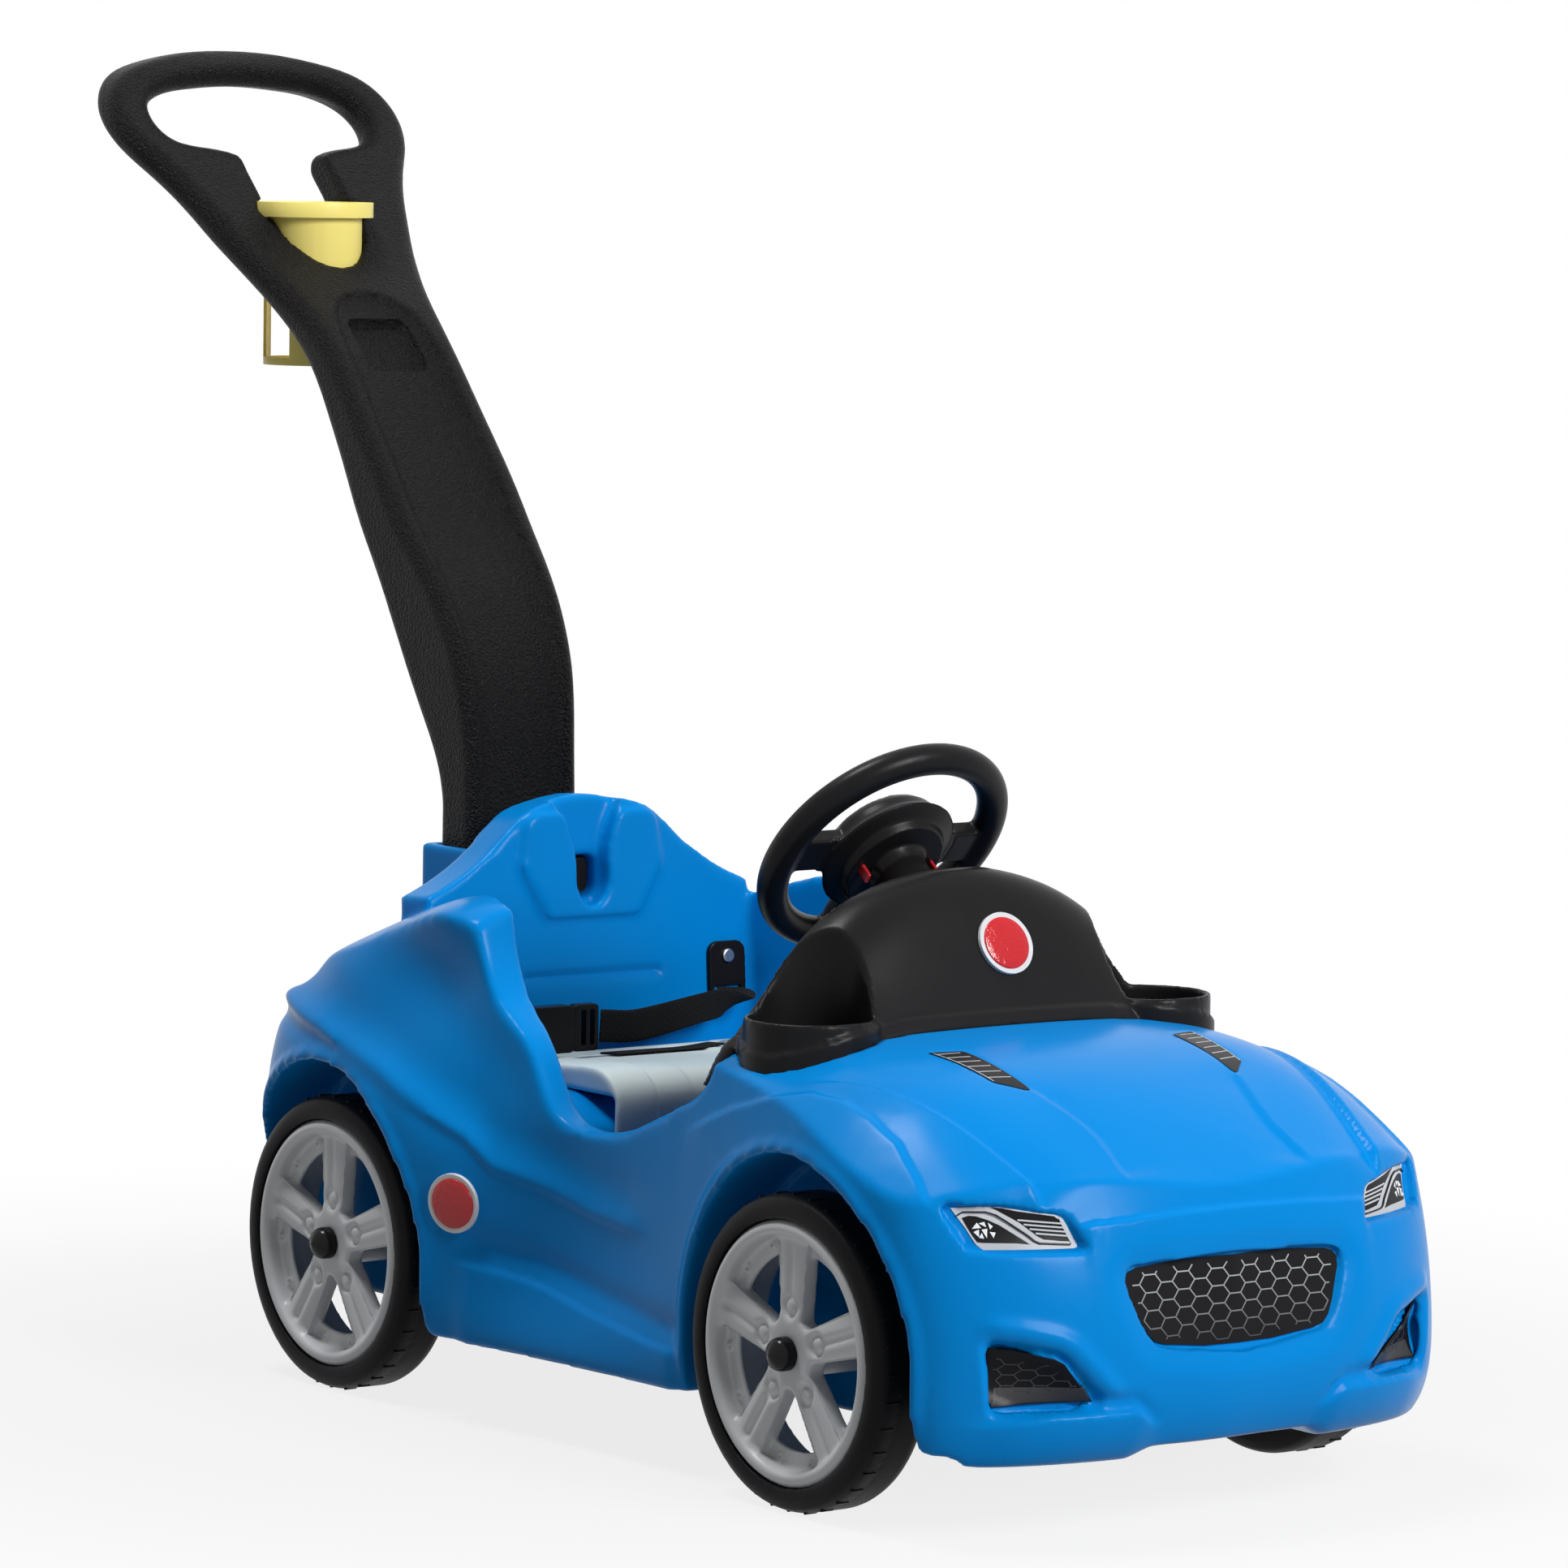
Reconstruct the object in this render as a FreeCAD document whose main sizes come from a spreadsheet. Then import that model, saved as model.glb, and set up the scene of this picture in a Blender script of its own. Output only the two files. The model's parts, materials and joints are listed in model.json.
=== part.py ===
import FreeCAD, Part
import Sketcher
import math
import os
import re

from FreeCAD import Vector as V

doc = FreeCAD.newDocument("push_car")
sheet = doc.addObject("Spreadsheet::Sheet", "Sizes")

# Every size of the car, in millimetres, named once. Angles are in degrees.
table = [
    ("wheelbase", 570.0),
    ("tyre_radius", 110.0),
    ("tyre_width", 48.0),
    ("tyre_depth", 17.6),
    ("tyre_round", 9.0),
    ("tyre_ease", 0.3),
    ("tread_groove", 2.0),
    ("track_half", 235.0),
    ("rim_wall", 11.0),
    ("rim_lip", 4.0),
    ("rim_taper", 0.75),
    ("hub_flare", 1.5),
    ("hub_radius", 17.0),
    ("hub_length", 64.0),
    ("hub_inset", 5.0),
    ("spoke_thick", 15.0),
    ("spoke_root", 11.0),
    ("spoke_tip", 17.0),
    ("spoke_inset", 5.0),
    ("spoke_groove", 6.0),
    ("groove_depth", 3.0),
    ("lug_radius", 8.6),
    ("lug_circle", 32.5),
    ("lug_depth", 4.0),
    ("boss_round", 4.6),
    ("boss_low", 1.0),
    ("axle_radius", 6.0),
    ("axle_end", 6.0),
    ("run_gap", 0.05),
    ("seat_gap", 0.4),
    ("cap_radius", 12.0),
    ("cap_drop", 1.5),
    ("cap_brow", 0.8),
    ("cap_crown", 0.4),
    ("cap_proud", 14.0),
    ("cap_wall", 4.0),
    ("bush_radius", 10.0),
    ("bush_flange", 14.0),
    ("bush_flange_thick", 2.0),
    ("well_radius", 137.0),
    ("well_inner", 163.0),
    ("body_half_width", 246.0),
    ("nose_reach", 502.0),
    ("tail_reach", 442.0),
    ("shoulder_height", 376.0),
    ("body_wall", 4.0),
    ("underside", 60.0),
    ("lip_back", 440.0),
    ("pocket_depth", 7.0),
    ("tub_floor", 74.0),
    ("tub_half_width", 180.0),
    ("tub_rear_half_width", 150.0),
    ("tub_front", 150.0),
    ("tub_corner", 45.0),
    ("toe_half_width", 140.0),
    ("toe_front", 245.0),
    ("toe_roof", 268.0),
    ("dash_hole_front", 236.0),
    ("dash_hole_floor", 258.0),
    ("seat_front", 62.0),
    ("seat_height", 238.0),
    ("back_front", 268.0),
    ("back_thick", 40.0),
    ("back_top", 438.0),
    ("back_lean", 4.0),
    ("slot_half_width", 11.0),
    ("slot_low", 357.0),
    ("slot_high", 389.0),
    ("scoop_depth", 11.0),
    ("scoop_half_width", 31.0),
    ("pad_proud", 5.0),
    ("scoop_low", 352.0),
    ("lumbar_height", 300.0),
    ("lumbar_half_width", 65.0),
    ("groove_round", 4.0),
    ("block_low", 338.0),
    ("socket_wall", 9.0),
    ("socket_top", 391.0),
    ("socket_floor", 292.0),
    ("tongue_front", 364.0),
    ("tongue_thick", 49.0),
    ("tongue_half_width", 51.0),
    ("tongue_low", 300.0),
    ("handle_half_width", 137.0),
    ("handle_reach", 790.0),
    ("handle_top", 1000.0),
    ("loop_tube", 30.0),
    ("arm_round", 12.0),
    ("loop_round", 11.0),
    ("panel_depth", 3.0),
    ("tail_groove_depth", 9.0),
    ("tail_groove_half_width", 8.0),
    ("tail_groove_top", 386.0),
    ("button_half_width", 9.5),
    ("button_height", 26.0),
    ("button_centre", 374.0),
    ("button_nose", 297.0),
    ("button_flange_at", 330.0),
    ("button_flange_thick", 4.0),
    ("button_flange_grow", 3.5),
    ("button_tail_radius", 5.0),
    ("button_corner", 5.0),
    ("spring_wire", 1.2),
    ("spring_turns", 5.0),
    ("cup_centre", 673.0),
    ("cup_rim_radius", 48.0),
    ("cup_rim_thick", 12.0),
    ("cup_rim_top", 880.0),
    ("cup_radius", 39.0),
    ("cup_wall", 2.5),
    ("cup_low", 750.0),
    ("cup_foot", 3.0),
    ("cup_foot_hole", 22.0),
    ("cup_window_width", 38.0),
    ("cup_window_rise", 70.0),
    ("dash_gap", 0.5),
    ("dash_half_width", 203.0),
    ("dash_low", 252.0),
    ("dash_top", 422.0),
    ("dash_rear", 148.0),
    ("dash_lean", 14.0),
    ("dash_depth", 112.0),
    ("dash_wall", 4.0),
    ("well_cup_radius", 43.0),
    ("well_cup_wall", 4.0),
    ("well_cup_x", 152.0),
    ("well_cup_y", 202.0),
    ("well_cup_top", 328.0),
    ("well_cup_floor", 272.0),
    ("wheel_y", 85.0),
    ("wheel_z", 430.0),
    ("wheel_tilt", 40.4),
    ("wheel_radius", 100.6),
    ("wheel_tube", 11.5),
    ("wheel_hub_radius", 46.0),
    ("wheel_hub_back", 26.0),
    ("wheel_hub_front", 12.0),
    ("wheel_hub_wall", 4.0),
    ("wheel_neck_radius", 20.0),
    ("wheel_neck_back", 62.0),
    ("wheel_spoke_half", 15.0),
    ("wheel_spoke_thick", 13.0),
    ("column_radius", 9.0),
    ("column_head", 13.0),
    ("column_head_thick", 4.0),
    ("boss_radius", 18.0),
    ("boss_near", 64.0),
    ("boss_far", 122.0),
    ("clip_radius", 15.0),
    ("clip_thick", 3.0),
    ("horn_radius", 34.0),
    ("horn_thick", 8.0),
    ("horn_proud", 4.0),
    ("horn_travel", 3.0),
    ("horn_leg_half", 4.0),
    ("horn_leg_thick", 3.0),
    ("horn_leg_at", 31.0),
    ("horn_leg_out", 5.0),
    ("panel_half_width", 131.0),
    ("panel_thick", 5.0),
    ("panel_round", 3.0),
    ("panel_lip", 60.0),
    ("strap_width", 25.0),
    ("strap_thick", 2.0),
    ("anchor_x", 124.0),
    ("anchor_y", 268.0),
    ("anchor_z", 296.0),
    ("anchor_width", 34.0),
    ("anchor_height", 46.0),
    ("anchor_thick", 4.0),
    ("anchor_corner", 9.0),
    ("rivet_radius", 5.5),
    ("rivet_head", 2.6),
    ("buckle_x", 50.0),
    ("buckle_y", 232.0),
    ("buckle_z", 266.0),
    ("buckle_width", 36.0),
    ("buckle_length", 40.0),
    ("buckle_thick", 13.0),
    ("buckle_corner", 4.0),
    ("tongue_gap", 0.6),
    ("latch_length", 26.0),
    ("latch_prong", 5.0),
    ("latch_bar", 24.0),
    ("latch_slot", 4.0),
]
for row, (alias, value) in enumerate(table, 1):
    cell = "B%d" % row
    sheet.set("A%d" % row, alias)
    sheet.set(cell, str(value))
    sheet.setAlias(cell, alias)
doc.recompute()
s = {alias: float(sheet.get(alias)) for alias, value in table}

UP = V(0, 0, 1)
ACROSS = V(1, 0, 0)
ALONG = V(0, 1, 0)
ZERO = V(0, 0, 0)
half, quarter, third, double = 0.5, 0.25, 1.0 / 3.0, 2.0
aligned = 0.999
full_turn, half_turn, right_angle = 360.0, 180.0, 90.0
turns = {
    "X": FreeCAD.Rotation(ALONG, right_angle),
    "-X": FreeCAD.Rotation(ALONG, -right_angle),
    "Y": FreeCAD.Rotation(ACROSS, -right_angle),
    "Z": FreeCAD.Rotation(),
}
parts = {}


def bound(text):
    """Point every size named in an expression at its cell."""
    return re.sub(r"[a-z][a-z_]*", lambda m: "Sizes." + m.group(0) if m.group(0) in s else m.group(0), text)


def place(obj, x, y, z, turn):
    obj.Placement = FreeCAD.Placement(ZERO, turn)
    for axis, text in zip("xyz", (x, y, z)):
        obj.setExpression("Placement.Base." + axis, bound(text))
    return obj


def cylinder(name, radius, height, x="0", y="0", z="0", turn=turns["Z"]):
    obj = doc.addObject("Part::Cylinder", name)
    obj.setExpression("Radius", bound(radius))
    obj.setExpression("Height", bound(height))
    return place(obj, x, y, z, turn)


def solid(name, shape):
    obj = doc.addObject("Part::Feature", name)
    obj.Shape = shape
    return obj


def keep(name, obj):
    obj.Label = name
    parts[name] = obj
    return obj


def own_plane(body, role):
    return [item for item in body.Origin.OriginFeatures if item.Role == role][0]


def sketch_on(body, name, role, offset="0"):
    sketch = body.newObject("Sketcher::SketchObject", name)
    sketch.AttachmentSupport = [(own_plane(body, role), "")]
    sketch.MapMode = "FlatFace"
    sketch.setExpression("AttachmentOffset.Base.z", bound(offset))
    return sketch


def outline(sketch, corners):
    """Draw a closed polygon whose corners are pairs of expressions."""
    guess = [(reckon(x), reckon(y)) for x, y in corners]
    count = len(corners)
    for i in range(count):
        a = V(guess[i][0], guess[i][1], 0)
        b = V(guess[(i + 1) % count][0], guess[(i + 1) % count][1], 0)
        sketch.addGeometry(Part.LineSegment(a, b), False)
    for i in range(count):
        sketch.addConstraint(Sketcher.Constraint("Coincident", i, 2, (i + 1) % count, 1))
    for i, (x, y) in enumerate(corners):
        for kind, text, value in (("DistanceX", x, guess[i][0]), ("DistanceY", y, guess[i][1])):
            number = sketch.addConstraint(Sketcher.Constraint(kind, -1, 1, i, 1, value))
            sketch.setExpression("Constraints[%d]" % number, bound(text))
    return sketch


def ring(sketch, radius, x="0", y="0"):
    """Draw a circle with its centre and radius bound to expressions."""
    sketch.addGeometry(Part.Circle(V(reckon(x), reckon(y), 0), UP, reckon(radius)), False)
    item = sketch.GeometryCount - 1
    number = sketch.addConstraint(Sketcher.Constraint("Radius", item, reckon(radius)))
    sketch.setExpression("Constraints[%d]" % number, bound(radius))
    for kind, text in (("DistanceX", x), ("DistanceY", y)):
        number = sketch.addConstraint(Sketcher.Constraint(kind, -1, 1, item, 3, reckon(text)))
        sketch.setExpression("Constraints[%d]" % number, bound(text))
    return sketch


def reckon(text):
    """Work out a sum of sizes, such as a + b - c / 2, term by term."""
    total = 0.0
    for sign, term in re.findall(r"([+-]?)\s*([^+-]+)", text):
        value = 1.0
        for mark, factor in re.findall(r"([*/]?)\s*([a-z_]+|[0-9.]+)", term):
            number = s[factor] if factor in s else float(factor)
            value = value / number if mark == "/" else value * number
        total = total - value if sign == "-" else total + value
    return total


def pad(body, name, sketch, length, back=False):
    feature = body.newObject("PartDesign::Pad", name)
    feature.Profile = sketch
    feature.setExpression("Length", bound(length))
    feature.Reversed = back
    return feature


def pocket(body, name, sketch, depth, back=False):
    feature = body.newObject("PartDesign::Pocket", name)
    feature.Profile = sketch
    feature.setExpression("Length", bound(depth))
    feature.Reversed = back
    return feature


def around(body, name, features, count):
    pattern = body.newObject("PartDesign::PolarPattern", name)
    pattern.Originals = features
    pattern.Axis = ([item for item in body.Origin.OriginFeatures if item.Role == "Z_Axis"][0], [""])
    pattern.Angle = full_turn
    pattern.Occurrences = count
    body.Tip = pattern
    return pattern


# Body shell: plan outlines, from nose centre round one side to tail centre, at nine heights.
# Each row is a height share, then shares of the half width and of the nose or tail reach.
plan_shares = [
    (0.138, [(0.000, -0.952), (0.305, -0.946), (0.549, -0.930), (0.764, -0.894), (0.874, -0.851),
             (0.931, -0.767), (0.939, -0.568), (0.870, -0.319), (0.866, -0.120), (0.882, 0.068),
             (0.915, 0.226), (0.955, 0.362), (0.959, 0.645), (0.931, 0.792), (0.874, 0.873),
             (0.744, 0.921), (0.447, 0.950), (0.000, 0.959)]),
    (0.199, [(0.000, -0.984), (0.305, -0.978), (0.549, -0.962), (0.772, -0.918), (0.898, -0.869),
             (0.955, -0.777), (0.963, -0.568), (0.886, -0.319), (0.878, -0.120), (0.894, 0.068),
             (0.931, 0.226), (0.984, 0.362), (0.988, 0.645), (0.959, 0.803), (0.902, 0.891),
             (0.764, 0.946), (0.455, 0.980), (0.000, 0.991)]),
    (0.293, [(0.000, -1.000), (0.305, -0.994), (0.549, -0.976), (0.776, -0.928), (0.907, -0.873),
             (0.963, -0.781), (0.967, -0.568), (0.894, -0.319), (0.841, -0.120), (0.850, 0.068),
             (0.919, 0.226), (0.996, 0.362), (1.000, 0.645), (0.967, 0.810), (0.907, 0.900),
             (0.772, 0.957), (0.459, 0.991), (0.000, 1.000)]),
    (0.426, [(0.000, -0.992), (0.305, -0.986), (0.549, -0.968), (0.780, -0.918), (0.907, -0.863),
             (0.967, -0.773), (0.972, -0.568), (0.890, -0.319), (0.825, -0.120), (0.837, 0.068),
             (0.923, 0.226), (1.000, 0.362), (1.000, 0.645), (0.963, 0.810), (0.898, 0.898),
             (0.764, 0.952), (0.459, 0.986), (0.000, 0.995)]),
    (0.545, [(0.000, -0.970), (0.305, -0.964), (0.549, -0.942), (0.785, -0.894), (0.907, -0.841),
             (0.967, -0.757), (0.972, -0.568), (0.878, -0.319), (0.825, -0.120), (0.833, 0.068),
             (0.919, 0.226), (1.000, 0.362), (0.996, 0.645), (0.951, 0.803), (0.886, 0.889),
             (0.756, 0.941), (0.455, 0.975), (0.000, 0.984)]),
    (0.665, [(0.000, -0.936), (0.305, -0.928), (0.549, -0.904), (0.780, -0.857), (0.890, -0.807),
             (0.947, -0.733), (0.947, -0.568), (0.862, -0.319), (0.821, -0.120), (0.833, 0.068),
             (0.868, 0.226), (0.948, 0.362), (0.980, 0.645), (0.931, 0.796), (0.862, 0.882),
             (0.744, 0.930), (0.451, 0.962), (0.000, 0.971)]),
    (0.785, [(0.000, -0.876), (0.293, -0.869), (0.528, -0.845), (0.744, -0.797), (0.841, -0.753),
             (0.890, -0.687), (0.886, -0.558), (0.833, -0.319), (0.805, -0.120), (0.821, 0.068),
             (0.842, 0.226), (0.852, 0.362), (0.912, 0.645), (0.866, 0.781), (0.801, 0.860),
             (0.699, 0.905), (0.431, 0.932), (0.000, 0.941)]),
    (0.904, [(0.000, -0.797), (0.276, -0.789), (0.496, -0.765), (0.691, -0.721), (0.780, -0.677),
             (0.825, -0.622), (0.829, -0.518), (0.805, -0.299), (0.780, -0.120), (0.801, 0.068),
             (0.832, 0.226), (0.836, 0.362), (0.810, 0.633), (0.752, 0.751), (0.697, 0.814),
             (0.610, 0.855), (0.382, 0.882), (0.000, 0.891)]),
    (1.037, [(0.000, -0.717), (0.252, -0.709), (0.455, -0.687), (0.634, -0.647), (0.715, -0.608),
             (0.760, -0.558), (0.768, -0.468), (0.760, -0.279), (0.748, -0.120), (0.768, 0.068),
             (0.805, 0.226), (0.816, 0.362), (0.744, 0.611), (0.667, 0.719), (0.602, 0.774),
             (0.512, 0.810), (0.325, 0.835), (0.000, 0.844)]),
]
# Crown of the hood, shoulders and tail: a reach share, then height shares out from the middle.
crown_across_shares = [0.0, 0.4, 0.75, 0.9, 1.1]
crown_shares = [
    (-1.056, [0.492, 0.492, 0.473, 0.439, 0.346]),
    (-0.920, [0.654, 0.652, 0.606, 0.553, 0.452]),
    (-0.743, [0.787, 0.779, 0.737, 0.670, 0.545]),
    (-0.610, [0.832, 0.827, 0.787, 0.729, 0.598]),
    (-0.470, [0.846, 0.840, 0.798, 0.745, 0.617]),
    (-0.239, [0.856, 0.851, 0.814, 0.766, 0.638]),
    (-0.040, [0.883, 0.878, 0.840, 0.793, 0.678]),
    (0.181, [0.936, 0.936, 0.920, 0.856, 0.745]),
    (0.362, [1.000, 1.000, 1.000, 0.963, 0.851]),
    (0.520, [0.979, 0.979, 0.963, 0.904, 0.785]),
    (0.679, [0.920, 0.920, 0.899, 0.838, 0.718]),
    (0.860, [0.793, 0.790, 0.771, 0.723, 0.617]),
    (1.018, [0.697, 0.697, 0.676, 0.633, 0.532]),
]
# Door cut: the sill dips behind the front wing and climbs the seat's side pillar.
door_shares = [(-0.315, 0.878), (-0.291, 0.723), (-0.199, 0.670), (-0.120, 0.628), (-0.050, 0.606),
               (0.023, 0.606), (0.072, 0.628), (0.143, 0.745), (0.238, 0.830), (0.283, 0.918),
               (0.312, 1.100)]
grille_shares = [(-0.385, 0.487), (0.0, 0.497), (0.385, 0.487), (0.290, 0.358), (0.0, 0.334),
                 (-0.290, 0.358)]
lamp_shares = [(0.504, 0.529), (0.815, 0.533), (0.860, 0.612), (0.660, 0.604), (0.528, 0.574)]
fog_shares = [(0.520, 0.255), (0.775, 0.255), (0.780, 0.357), (0.690, 0.335)]
# Front lip: the middle is cut a little higher than the corners.
chin_shares = [(0.350, 0.0), (0.350, 0.140), (0.280, 0.161), (-0.280, 0.161), (-0.350, 0.140),
               (-0.350, 0.0)]
arch_shares = [(0.0, 1.0), (0.13, 0.990), (0.232, 0.972), (0.305, 0.940), (0.378, 0.905),
               (0.512, 0.858), (0.610, 0.835)]

scoop_shares = [(1.0, 0.985), (0.62, 0.935), (0.46, 0.880), (0.44, 0.835)]
pad_shares = [(-0.180, 0.788), (0.180, 0.788), (0.268, 0.880), (0.236, 0.968), (-0.236, 0.968),
              (-0.268, 0.880)]
# Dashboard levels: height share, half-width share, depth share and corner fullness.
dash_shares = [(0.0, 1.0, 1.0, 5.0), (0.282, 0.946, 0.84, 5.0), (0.459, 0.828, 0.67, 4.0),
               (0.688, 0.680, 0.475, 3.2), (0.871, 0.483, 0.315, 2.6), (0.959, 0.286, 0.205, 2.3),
               (1.0, 0.120, 0.12, 2.0)]
dash_steps = 14
# Seat panel: share of the seat's length, then share of the lip's height above the seat step.
seat_shares = [(0.93, 0.12), (0.70, 0.19), (0.40, 0.27), (0.16, 0.335), (0.06, 0.29), (0.0, 0.14),
               (-0.028, -0.12), (-0.035, -0.55)]

spoke_count = 5
window_count = 4
# Push handle: shares of its rearward reach and of its height, up the front and down the back.
arm_front_shares = [(0.4608, 0.430), (0.4646, 0.480), (0.4734, 0.520), (0.4937, 0.560), (0.5266, 0.600),
                    (0.5709, 0.640), (0.6101, 0.680), (0.6519, 0.720), (0.6937, 0.760), (0.7316, 0.790),
                    (0.7797, 0.820), (0.8253, 0.850), (0.8506, 0.870), (0.8886, 0.900), (0.9253, 0.930),
                    (0.9557, 0.955), (0.9823, 0.980), (1.0, 0.994), (1.014, 1.0)]
arm_back_shares = [(1.014, 1.0), (1.030, 0.996), (1.035, 0.984), (1.020, 0.962), (0.981, 0.933),
                   (0.944, 0.905), (0.903, 0.872), (0.877, 0.850), (0.838, 0.822), (0.792, 0.788),
                   (0.751, 0.757), (0.713, 0.717), (0.662, 0.650), (0.597, 0.550), (0.559, 0.490),
                   (0.530, 0.445), (0.5228, 0.420)]
# Half widths up the handle's front view, then the opening of the grip loop.
arm_wide_shares = [(0.0, 1.0), (0.30, 0.998), (0.62, 0.990), (0.86, 0.977), (0.985, 0.955), (1.0, 0.938),
                   (0.965, 0.922), (0.854, 0.900), (0.723, 0.870), (0.657, 0.850), (0.562, 0.820),
                   (0.480, 0.790), (0.455, 0.760), (0.460, 0.720), (0.467, 0.680), (0.470, 0.640),
                   (0.445, 0.600), (0.423, 0.560), (0.401, 0.520), (0.380, 0.480), (0.3723, 0.440),
                   (0.3723, 0.400), (0.3723, 0.340), (0.3723, 0.290)]
loop_shares = [(0.0, 0.971), (0.35, 0.968), (0.62, 0.960), (0.74, 0.946), (0.72, 0.932), (0.60, 0.924),
               (0.36, 0.919), (0.20, 0.912), (0.0, 0.910)]
panel_shares = [(0.0, 0.810), (0.16, 0.806), (0.27, 0.792), (0.31, 0.765), (0.33, 0.700), (0.34, 0.600),
                (0.31, 0.520), (0.29, 0.450), (0.28, 0.400), (0.28, 0.290)]
# Belt runs: shares of the anchor's sideways offset, its distance behind the buckle and its rise.
belt_left_shares = [(0.97, 0.30, 0.12), (0.62, 0.05, -0.08), (0.12, 0.0, -0.05), (-0.175, 0.0, 0.0)]
belt_tail_shares = [(-0.17, -0.30), (0.20, -0.35), (0.62, -0.40)]
belt_right_shares = [(-0.97, 0.30, 0.12), (-0.85, 0.05, 0.03), (-0.745, 0.0, 0.0)]


def reach(share, inset=0.0):
    size = s["nose_reach"] if share < 0 else s["tail_reach"]
    return share * (size - inset)


def hull_sides(inset):
    """Loft the plan outlines; inset draws the loft inwards all round."""
    wires = []
    knots = None
    for level, half_outline in plan_shares:
        z = level * s["shoulder_height"]
        side = []
        for x_share, y_share in half_outline:
            side.append(V(x_share * (s["body_half_width"] - inset), reach(y_share, inset), z))
        loop = side + [V(-p.x, p.y, p.z) for p in reversed(side[1:-1])]
        if knots is None:
            knots = [0.0]
            for a, b in zip(loop, loop[1:] + loop[:1]):
                knots.append(knots[-1] + (b - a).Length)
        curve = Part.BSplineCurve()
        curve.interpolate(Points=loop, PeriodicFlag=True, Parameters=knots)
        wires.append(Part.Wire([curve.toShape()]))
    return Part.makeLoft(wires, True, False)


def hull_crown():
    """Loft the cross curves of the top surface down to the ground."""
    wires = []
    for y_share, heights in crown_shares:
        y = reach(y_share)
        right = [V(x * s["body_half_width"], y, z * s["shoulder_height"])
                 for x, z in zip(crown_across_shares, heights)]
        points = [V(-p.x, p.y, p.z) for p in reversed(right[1:])] + right
        curve = Part.BSplineCurve()
        curve.interpolate(Points=points)
        left_foot = V(points[0].x, y, 0)
        right_foot = V(points[-1].x, y, 0)
        lines = [Part.makeLine(points[-1], right_foot), Part.makeLine(right_foot, left_foot),
                 Part.makeLine(left_foot, points[0])]
        wires.append(Part.Wire([curve.toShape()] + lines))
    return Part.makeLoft(wires, True, False)


def prism(points, direction):
    """Push a closed outline of points straight along a direction."""
    return Part.Face(Part.makePolygon(points + points[:1])).extrude(direction)


def smooth_prism(points, closing, direction):
    """Push an outline made of a smooth curve and straight closing corners."""
    curve = Part.BSplineCurve()
    curve.interpolate(Points=points)
    path = [points[-1]] + closing + [points[0]]
    lines = [Part.makeLine(a, b) for a, b in zip(path, path[1:])]
    return Part.Face(Part.Wire([curve.toShape()] + lines)).extrude(direction)


def slab(x0, x1, y0, y1, z0, z1):
    return Part.makeBox(x1 - x0, y1 - y0, z1 - z0, V(x0, y0, z0))


def soft_corners(shape, radius, direction):
    """Round the straight edges of a shape that run along a direction."""
    edges = [e for e in shape.Edges if abs(e.tangentAt(e.FirstParameter).dot(direction)) > aligned]
    return shape.makeFillet(radius, edges)


wall = s["body_wall"]
width = s["body_half_width"]
height = s["shoulder_height"]
nose = s["nose_reach"]
tail = s["tail_reach"]
axle_y = s["wheelbase"] * half
sky = s["handle_top"]

hull = hull_sides(0.0).common(hull_crown())

# Seat back: an arched panel with a raised pad that leans rearwards between the shoulders.
foot_z = s["seat_height"]
arch = [V(x * width, 0, z * s["back_top"]) for x, z in arch_shares]
arch = [V(-p.x, p.y, p.z) for p in reversed(arch[1:])] + arch
panel = smooth_prism(arch, [V(arch[-1].x, 0, foot_z), V(arch[0].x, 0, foot_z)], ALONG * s["back_thick"])
pad_outline = [V(x * width, -s["pad_proud"], z * s["back_top"]) for x, z in pad_shares]
pad_block = prism(pad_outline, ALONG * (s["pad_proud"] + s["back_thick"] * half))
pad_block = soft_corners(pad_block, s["pad_proud"] * double, ALONG)
lean_base = FreeCAD.Placement(V(0, s["back_front"], foot_z), FreeCAD.Rotation(ACROSS, -s["back_lean"]))
lean = lean_base.multiply(FreeCAD.Placement(V(0, 0, -foot_z), FreeCAD.Rotation()))


def leaned(shape):
    """Lean a shape back with the seat, about the foot of the seat back."""
    shape.Placement = lean.multiply(shape.Placement)
    return shape


def bottomed_slot(half_width, low, high, y0, y1):
    """A slot with a round lower end, cut along the car."""
    centre = low + half_width
    upper = slab(-half_width, half_width, y0, y1, centre, high)
    return upper.fuse(Part.makeCylinder(half_width, y1 - y0, V(0, y0, centre), ALONG))


fit = s["seat_gap"]
back = leaned(panel.fuse(pad_block))
scoop_side = [V(x * s["scoop_half_width"], -s["scoop_depth"], z * s["back_top"]) for x, z in scoop_shares]
scoop_side.append(V(0, -s["scoop_depth"], s["scoop_low"]))
scoop_curve = scoop_side + [V(-p.x, p.y, p.z) for p in reversed(scoop_side[:-1])]
scoop_top = [V(p.x, p.y, s["back_top"] + wall) for p in (scoop_curve[-1], scoop_curve[0])]
scoop = leaned(smooth_prism(scoop_curve, scoop_top, ALONG * s["scoop_depth"] * double))
lumbar = Part.makeCylinder(s["groove_round"], s["lumbar_half_width"] * double,
                           V(-s["lumbar_half_width"], 0, s["lumbar_height"]), ACROSS)
lumbar = leaned(lumbar)

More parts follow.
